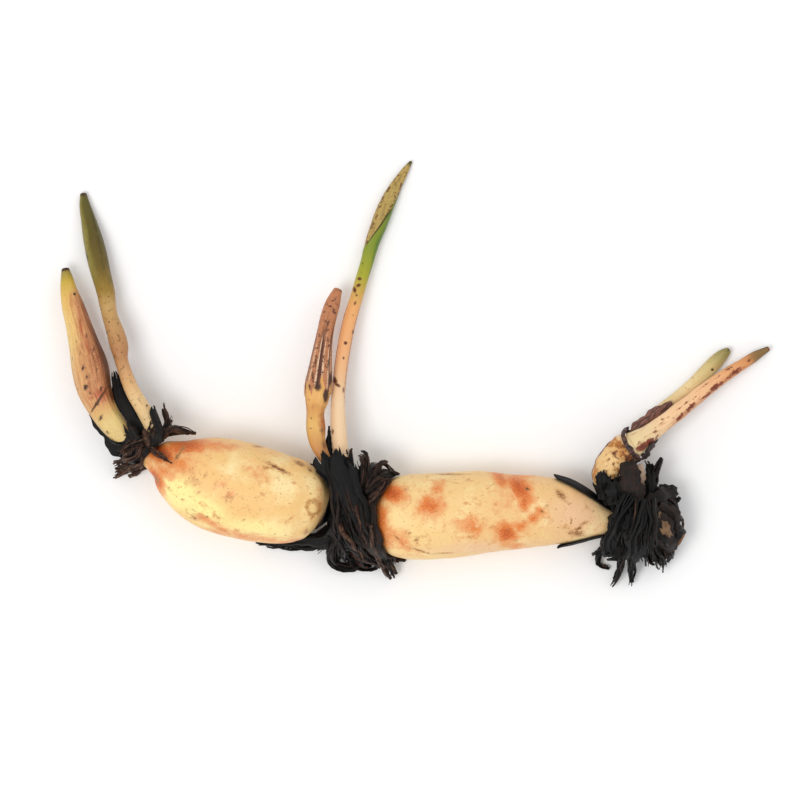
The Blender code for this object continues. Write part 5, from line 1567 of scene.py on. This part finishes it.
# %% Roots at the neck
MIDDLE_MATS = [
    ((-26.2, -55, 14.8), (10.6, 13.8, 13.6), (0.12, -1, -0.2), 13),
    ((-30.8, -40.5, 18.6), (6.6, 7, 6.6), (0.1, 1, 0), 9),
    ((-17, -43.2, 16.4), (5.8, 8.2, 7.8), (0.5, 1, -0.2), 9),
    ((-12.4, -42, 17), (5.6, 3.4, 5.2), (1, -0.4, -0.1), 6),
    ((-19, -70.6, 7.4), (7, 6, 6.6), (0.5, -1, -0.2), 9),
    ((-33, -66.6, 6), (6.4, 4, 5.2), (-0.8, -0.5, -0.2), 6),
]
MIDDLE_ROOTS = [
    ([(-32, -43, 25), (-30.6, -54.4, 28.5), (-29.2, -64.8, 22), (-27.8, -72.8, 11),
      (-25.2, -76.4, 3.5)], 2.6, 1.8, 4, 1.2),
    ([(-28, -41, 25), (-26, -52.4, 29), (-22.4, -63.4, 24.5), (-18, -71.6, 13),
      (-12.8, -77, 4)], 2.8, 1.8, 4, 1.2),
    ([(-24, -44, 25), (-20.4, -53.4, 28), (-17, -63, 25), (-13.4, -72, 14),
      (-9.6, -78.6, 3.5)], 2.4, 1.4, 4, 1.2),
    ([(-30, -62.4, 21), (-33.4, -70.4, 13), (-32, -76.4, 5), (-26.4, -78, 3),
      (-21.6, -75.2, 3)], 1.6, 1.2, 3, 1.1),
    ([(-22.8, -50.4, 23), (-20.4, -41.4, 24), (-20.4, -33.6, 18), (-22.4, -31.6, 12)], 1.8, 1.2, 3, 1),
    ([(-20.4, -51.4, 24), (-17, -40.8, 23.5), (-13.2, -35.6, 19), (-8, -39.6, 15)], 1.8, 1, 3, 1.1),
    ([(-18, -53, 26), (-14.4, -47.2, 26.5), (-9.6, -42.4, 22)], 1.8, 1.4, 3, 1),
    ([(-20, -47, 25), (-14.6, -40.6, 24.5), (-10, -39.2, 20), (-6.4, -41.2, 16.5)], 1.5, 0.9, 3, 1),
    ([(-19, -49, 27), (-13.6, -43.4, 26), (-8.6, -41.8, 22)], 1.3, 0.9, 2, 1),
    ([(-31, -46, 21), (-34, -52, 23), (-34.6, -58, 18), (-37, -63, 11)], 1.3, 1.4, 3, 1),
    ([(-33, -36.6, 22), (-36, -42, 22), (-35.4, -50, 22), (-34.6, -58, 18)], 1.2, 1.3, 3, 1.1),
    ([(-31, -57, 19), (-36.6, -60.6, 15), (-40.6, -63.2, 12), (-46, -66.4, 8)], 1.2, 0.8, 3, 1.1),
    ([(-24, -52, 30.6), (-21, -60, 28.4), (-16.6, -68, 20), (-12, -75, 8)], 2, 1.4, 4, 1.3),
    ([(-29.6, -56, 28.6), (-26.6, -64, 24), (-22, -71, 14), (-19, -76.4, 6)], 2, 1.4, 3, 1.3),
    ([(-30.8, -60.4, 17), (-35.6, -66.8, 9), (-39.8, -70.4, 3)], 1.6, 1.4, 3, 0.9),
    ([(-28, -62, 6), (-38, -69, 3.4), (-47, -69.8, 2.6), (-56, -69.2, 2.2),
      (-64, -68.2, 1.8)], 0.7, 0.3, 2, 0.9),
    ([(-16, -68, 8), (-9, -74, 3.4), (-2, -74.6, 2.4)], 0.8, 0.5, 2, 0.8),
    ([(-26, -66, 16), (-31.4, -72.6, 8), (-30.4, -77, 4), (-25.6, -78.2, 3), (-22, -75, 4),
      (-24.2, -71.4, 7)], 1.4, 1, 2, 0.8),
    ([(-21, -68, 16), (-25.6, -73, 7), (-23, -77, 3.4), (-17.4, -77.4, 3),
      (-14.6, -74.6, 4)], 1.4, 1, 2, 0.8),
    ([(-17, -60, 27), (-13, -69, 17), (-10.4, -76, 8), (-8, -82, 3)], 1.8, 1.2, 4, 1.3),
    ([(-20, -64, 23), (-15, -72, 13), (-11.4, -78, 5), (-9.4, -81.6, 2.6)], 1.6, 1.2, 3, 1.2),
    ([(-25, -40, 20), (-25.4, -33, 20), (-26, -26.8, 19)], 0.3, 0.2, 1, 0.8),
]
# x, y and radius of places that no root crosses
MIDDLE_BARE = [(-24.4, -34.2, 0.9), (-23.6, -37, 0.7)]


def middle_brown(at):
    """The middle tuft's roots turn from black on the left to brown on the right."""
    return 0.30 + 0.018 * (at[:, 0] + 24)


print("the middle tuft has", len(MIDDLE_MATS), "mats and", len(MIDDLE_ROOTS), "bundles")

# %% [markdown]
# ### Scale leaves at the neck
#
# A black torn sheath stands up the leaf stalk, and a collar of scale leaf laps over the first internode's
# rounded end. Leaves may run into one another here, because the draping only keeps them out of the stems.

# %% Middle tuft
MIDDLE_INNER_SCALE = [
    (-33.4, -38, 20, 2.6), (-33.8, -30, 19, 2), (-33.9, -24.6, 17.8, 1.3), (-33.8, -20.4, 17, 0.5),
]
NECK_SCALE = [
    (-31, -53.8, 16, 5.2), (-34.4, -52.8, 16.3, 5.8), (-36, -52.4, 16.5, 7.6), (-37, -52.1, 16.7, 9.2),
]
# five sheaths in front of the leaf's foot, one at its right, two brown twisted ones on the lower right, and
# the wedge that follows the first internode's lower edge
MIDDLE_FLAPS = [
    ([(-21.6, -66, 23, 2), (-25.4, -57, 29.6, 2.8), (-30, -47, 29.6, 3.2), (-33.8, -38, 27, 3),
      (-36, -31.6, 25.2, 2.2)], 0.4, 0.2, 0),
    ([(-17, -67, 23, 1.6), (-19.8, -58, 30, 2.4), (-23.6, -47, 30, 2.8), (-26.8, -38, 27, 2.6),
      (-29, -31.8, 24.6, 1.8)], 0.4, 0.3, 0.04),
    ([(-19.4, -67, 23.6, 2), (-22.6, -58, 30.6, 3), (-26.8, -47, 31.2, 3.4), (-30.4, -38, 28.4, 3.2),
      (-31.8, -28.6, 25.8, 1.6)], 0.4, 0.1, -0.04),
    ([(-34, -48, 25, 3.4), (-36.4, -40.4, 26, 4.2), (-37.8, -34, 26, 3.8),
      (-38.6, -30, 25.4, 1.8)], 0.4, 0.35, 0),
    ([(-31, -60, 22.6, 2), (-33.6, -50, 24.4, 2.4), (-34.6, -41, 24.6, 2.6),
      (-34, -33.6, 23.6, 1.8)], 0.5, 0.3, 0.08),
    ([(-21.6, -50, 26, 1.6), (-23.2, -42, 25, 2.2), (-24.6, -34, 22.4, 1.5)], 0.4, 0.3, 0.1),
    ([(-17.6, -52, 28.4, 2.6), (-13.8, -61, 25.6, 2.4), (-10.6, -70, 16, 2),
      (-8.4, -78.6, 5, 1.5)], 0.5, 0.3, 0.42),
    ([(-28, -60, 25, 2.4), (-29.6, -68, 18, 2.2), (-29.4, -74, 9, 1.6)], 0.5, 0.3, 0.25),
    ([(-32, -61, 16, 7.8), (-38, -63.6, 13, 5.8), (-42.5, -65.6, 10.6, 3.4), (-48, -67, 8, 1.7),
      (-56, -67.6, 6, 0.8), (-64, -67.8, 4, 0.4)], 0.2, 0.03, 0.05),
]
near = body + [stem_rows["middle_bud"], stem_rows["middle_leaf"]]
leaves = [
    (wrapped_leaf(along_path(NECK_SCALE, 30), HEIGHT, 90, 115, 0.8, 0.06, draw), 0.03),
    (wrapped_leaf(along_path(MIDDLE_LEAF[:3], 30), 1.0, 80, 120, 0.3, 0.45, draw), 0.05),
    (flat_leaf(MIDDLE_INNER_SCALE, 0.2, 0.1, near, draw), 0.08),
]
leaves += free_leaves(MIDDLE_FLAPS, near, draw)
middle = tuft(MIDDLE_MATS, MIDDLE_ROOTS, leaves, near, middle_brown, MIDDLE_BARE, draw)
put("middle_tuft_roots", "middle_tuft", middle, black, ("tint", "leafy"))

# %% [markdown]
# ### The end tuft
#
# The tuft at the old end almost hides the stub of the third internode. Its mat is the blackest, and roots
# hang down from it in spikes.

# %% Roots at the old end
END_MATS = [
    ((88, -58.8, 12.6), (9.6, 11.6, 11.8), (-0.25, -1, -0.2), 13),
    ((98.6, -58, 11.6), (6.6, 10.6, 9.2), (0.6, -0.8, -0.2), 11),
    ((81, -46.8, 16.2), (7, 6.4, 7.6), (-0.3, 1, 0), 9),
    ((97.2, -69.4, 8), (5.8, 6.8, 6.8), (0.3, -1, -0.2), 9),
    ((80.6, -68.4, 8.2), (7, 5.8, 6.8), (-0.6, -0.8, -0.2), 9),
    ((101.6, -49.6, 11), (3.6, 3.4, 4.4), (0.8, 0.4, -0.1), 6),
]
END_ROOTS = [
    ([(93.2, -50, 13), (94.2, -42.4, 14), (94, -36.8, 14), (92.8, -34.2, 13)], 1.3, 1.1, 3, 1),
    ([(94.8, -50, 15), (96, -41.2, 15), (99.4, -33.4, 14)], 1.4, 0.8, 3, 1.2),
    ([(94, -54, 18), (100, -48.6, 15), (104, -47.4, 9)], 1.8, 1.4, 3, 1.25),
    ([(95, -55, 21), (102, -54.6, 16), (105.6, -58.4, 9), (105.4, -62.4, 4)], 1.8, 1.4, 3, 1.25),
    ([(93, -59, 23), (99.6, -66, 18), (103, -70.8, 9), (103.4, -73.4, 3)], 2.2, 1.6, 3, 1.25),
    ([(90, -62.4, 22), (96, -71, 15), (98.8, -76.2, 7), (99.2, -78.6, 2.5)], 2.2, 1.6, 3, 1.25),
    ([(86, -66, 19), (87, -75.4, 10), (87.2, -81.2, 4), (87.2, -85, 2)], 1.6, 0.6, 3, 0.9),
    ([(84, -66.4, 17), (82.8, -75.8, 8), (81.2, -81, 4), (78.8, -85, 2)], 1.6, 0.6, 3, 0.9),
    ([(80, -63.4, 15), (75.2, -70.6, 8), (71.4, -73.6, 3)], 1.4, 0.8, 3, 0.9),
    ([(79, -66, 10), (73.6, -74, 4), (73.8, -76.6, 2), (77.8, -78.2, 2)], 0.8, 0.4, 2, 0.8),
    ([(88, -50.4, 23), (83.2, -54.8, 22.5), (80.4, -62.4, 19), (79.8, -69.4, 12)], 2.2, 1.8, 3, 1.25),
    ([(91, -51.4, 23), (90.4, -61.4, 24.5), (88.6, -71.4, 15), (88, -76.6, 7)], 2.4, 2, 3, 1.25),
    ([(89, -50, 27), (88.4, -59, 27.6), (86.4, -68, 21), (84.6, -75, 10)], 3, 2.4, 4, 1.3),
    ([(86, -48, 25.4), (82, -56, 24.6), (79, -64, 18), (76.4, -71, 9)], 2.4, 2, 4, 1.3),
    ([(93, -50, 25), (94.4, -60, 25), (94, -69, 18), (93.6, -76, 8)], 2, 1.6, 3, 1.3),
]
# x, y and radius of places that no root crosses
END_BARE = [(108.4, -69, 4.8), (103.4, -61, 3.6)]


def end_brown(at):
    """The end tuft's roots are almost black, and a little browner on the right."""
    return 0.12 + 0.014 * (at[:, 0] - 88)


print("the end tuft has", len(END_MATS), "mats and", len(END_ROOTS), "bundles")

# %% [markdown]
# ### Scale leaves at the old end
#
# Two strips of scale leaf run back along the sides of the tapering internode. Both follow one curve, bent
# round the stem at its right and at its left. The lobes on the right are brown, and the others black.

# %% End tuft
END_INNER_SCALE = [
    (84, -56, 17.6, 4.6), (84.6, -48, 17.4, 4.8), (86, -41.4, 16.4, 3.8), (87.2, -36.2, 15.2, 1.6),
]
END_WRAPPED_SCALE = [
    (84, -59.6, 12.8, 5), (79, -59, 13, 4.8), (74.8, -58.4, 13.2, 6.4), (70, -57.4, 13.4, 8.9),
    (64, -56.2, 13.7, 11.4), (58, -55.2, 14, 12.9), (54.4, -55, 14.2, 13.4),
]
# four torn tips over the foot of the side branch, two for the lump at the upper right, three brown lobes on
# the right, and three black ones on the left and in the middle
END_FLAPS = [
    ([(76, -50, 20, 2.8), (74.8, -43, 23, 2.8), (74.6, -37.4, 23.4, 1.2)], 0.4, 0.3, 0.04),
    ([(81, -52, 23, 3.6), (79.6, -46, 24.4, 3.6), (79, -40, 24, 1.4)], 0.3, 0.35, 0.05),
    ([(88, -54, 25, 4.8), (86.6, -46, 25.4, 4.6), (85.4, -39, 24.6, 4),
      (85.8, -33.6, 24, 2.2)], 0.3, 0.12, 0.42),
    ([(93.6, -52, 19, 2.2), (94.2, -43, 17.6, 2.2), (93.8, -35.4, 15.4, 1.4)], 0.4, 0.4, 0.1),
    ([(92, -53, 24, 3), (98, -49.6, 21, 3.8), (104, -47.4, 15, 3.2)], 0.5, 0.1, 0.32),
    ([(95, -49, 18, 2.6), (101, -46.8, 15, 2.8), (105, -49, 10, 2.4)], 0.5, 0.1, 0.05),
    ([(92.6, -54, 25, 3.4), (97.4, -60, 24, 4.6), (100, -67, 19, 4.6),
      (100.6, -74.6, 10, 3.4)], 0.4, 0.14, 0.4),
    ([(97, -52.6, 22, 2.6), (101.8, -56, 19.6, 3.4), (103.4, -61, 17, 3),
      (103.4, -65.6, 14, 1.8)], 0.5, 0.2, 0.4),
    ([(96, -56, 24.4, 1.8), (99.6, -62, 23, 2.2), (101.4, -68, 17.4, 1.6)], 0.4, 0.1, 0.92),
    ([(84, -52, 24.6, 3.6), (81.4, -60, 23, 4.4), (78.6, -68, 16, 3.8),
      (76.6, -74, 9, 2.2)], 0.4, 0.2, 0.03),
    ([(89, -52, 26, 4), (88.6, -61, 26.6, 5), (88.2, -70, 21, 4.2),
      (87.8, -77, 12, 2.4)], 0.4, 0.24, 0.02),
    ([(93.4, -60, 23.8, 3), (94.6, -68, 18.6, 3.2), (95.4, -76, 9, 2)], 0.5, 0.25, 0.1),
]
near = body + [stem_rows["side_runner"], stem_rows["old_stalk"]]
wrap = along_path(END_WRAPPED_SCALE, 60)
leaves = [
    (wrapped_leaf(wrap, HEIGHT, 6, 38, 0.15, 0.06, draw), 0.06),
    (wrapped_leaf(wrap[:52], HEIGHT, 182, 30, 0.15, 0.06, draw), 0.03),
    (flat_leaf(END_INNER_SCALE, 0.3, 0.3, near, draw), 0.06),
]
leaves += free_leaves(END_FLAPS, near, draw)
end = tuft(END_MATS, END_ROOTS, leaves, near, end_brown, END_BARE, draw)
put("end_tuft_roots", "end_tuft", end, black, ("tint", "leafy"))

# %% [markdown]
# ## The side shoots' sheath
#
# A torn sheath rings the end of the side branch, where the two side shoots come out of it. The ring leans
# back over the branch, so from above it shows as a dark hoop. One blade of the sheath lies over the small
# leaf, and a torn piece hangs at the lower right.

# %% Sheath curves
SHEATH_COLLAR = [
    (86.9, -28.4, 16.3, 6.7), (87.8, -27.8, 16.2, 7.1), (88.9, -27.1, 16.1, 6.5),
]
SHEATH_BLADE = [
    (86.6, -28, 14.2, 2.6), (89.4, -22.9, 13.3, 3.2), (94.2, -17.9, 12.1, 2.9), (98.8, -14.4, 10.9, 2.2),
    (103.2, -11.2, 9.5, 0.7),
]
TORN_PIECE = [
    (86.6, -34.4, 16, 1.8), (90.2, -31.4, 18, 3), (93.4, -27.8, 17, 2.6), (96.4, -24.6, 14, 1),
]
COLLAR_THICKNESS, COLLAR_LEAN = 0.7, 3.6
# rows of the collar's curve, and points up it and round it
ROWS, PLACES_UP, PLACES_ROUND = 24, 14, 90


def collar(stations, thickness, lean):
    """A short sleeve round a stem: at angle a it spans from its foot to a torn lip of uneven height, and
    it leans back along the stem by lean sin a."""
    rows = along_path(stations, ROWS)
    ahead, right, up = frames(rows[:, :3])
    turn = np.linspace(0, 2 * np.pi, PLACES_ROUND)
    lip = 0.75 + 0.25 * np.sin(7 * turn + 1) * np.sin(3 * turn)
    at = np.linspace(0, 1, PLACES_UP)[:, None] * lip
    own = np.linspace(0, 1, ROWS)
    grid = np.stack([np.interp(at, own, column) for column in np.hstack([rows, right, up]).T], axis=-1)
    reach = grid[..., 3] + 0.15 * np.sin(19 * turn) * at
    back = lean * np.clip(np.sin(turn), -0.3, 1)
    side = (reach * np.cos(turn))[..., None] * grid[..., 4:7]
    middle = grid[..., :3] - back[:, None] * ahead[ROWS // 2]
    return plate(middle + side + (reach * np.sin(turn))[..., None] * grid[..., 7:10], thickness)


print("the collar ring leans back by", COLLAR_LEAN, "mm")

# %% [markdown]
# ### Dry sheath
#
# Dead sheath is papery and red-brown. Its fibres run lengthwise, 0.8 mm wide and 6 mm long, turned with the
# blade. The mark `tint` makes the ring and the torn piece darker than the blade.

# %% Dry sheath
SHEATH_STOPS = [(0.3, "#1c1110"), (0.5, "#432721"), (0.72, "#8c5e4c")]
FIBRE_SIZE = (0.006, 0.0008, 0.0008)  # metres
FIBRE_TURN = 0.7  # radians


def dry_sheath():
    """Papery dead sheath: dark to red-brown by the sum of its fibres and the mark `tint`."""
    material, tree, surface = new_material("dry sheath, papery red-brown")
    coordinates = add(tree, "TexCoord", {}).outputs["Object"]
    turned = {"Vector": coordinates, "Rotation": (0, 0, FIBRE_TURN), "Scale": FIBRE_SIZE}
    along = add(tree, "Mapping", turned, vector_type="TEXTURE").outputs["Vector"]
    fibres = add(tree, "TexNoise", {"Vector": along, "Scale": 1.0, "Detail": 4.0}).outputs["Fac"]
    tint = add(tree, "Attribute", {}, attribute_name="tint").outputs["Fac"]
    shade = add(tree, "Math", {0: fibres, 1: tint}, operation="ADD").outputs[0]
    colour = set_stops(add(tree, "ValToRGB", {"Fac": shade}), SHEATH_STOPS)
    bump = add(tree, "Bump", {"Height": fibres, "Strength": 0.5, "Distance": 0.0003}).outputs["Normal"]
    look = {"Base Color": colour, "Roughness": 0.5, "Specular IOR Level": 0.4, "Normal": bump}
    tree.links.new(add(tree, "BsdfPrincipled", look).outputs["BSDF"], surface)
    print(f"{material.name}: {len(tree.nodes)} nodes")
    return material


near = [(along_path(rows, 40), 1.0) for rows in (SIDE_RUNNER, SIDE_BUD, SIDE_LEAF)]
# each part with its share of red-brown
parts = [
    (collar(SHEATH_COLLAR, COLLAR_THICKNESS, COLLAR_LEAN), -0.04),
    (flat_leaf(SHEATH_BLADE, 0.3, 0.04, near, draw), 0.12),
    (flat_leaf(TORN_PIECE, 0.3, 0.2, near, draw), -0.12),
]
parts = [{**part, "tint": np.full(len(part["points"]), share), "leafy": 1.0} for part, share in parts]
# a dead sheath, dried in air: papery, with a faint gloss on its fibres
put("side_sheath_torn", "side_sheath", joined(parts), dry_sheath(), ("tint",))

# %% [markdown]
# ## Sizes
#
# The dressed plant has to fill the same box as the plain one. Both boxes are written out to compare.

# %% Sizes and the end
dressed_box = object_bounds()
for name, box in (("plain", plain_box), ("dressed", dressed_box)):
    print(name, "box in mm:", [tuple(round(v / MM, 1) for v in corner) for corner in box])
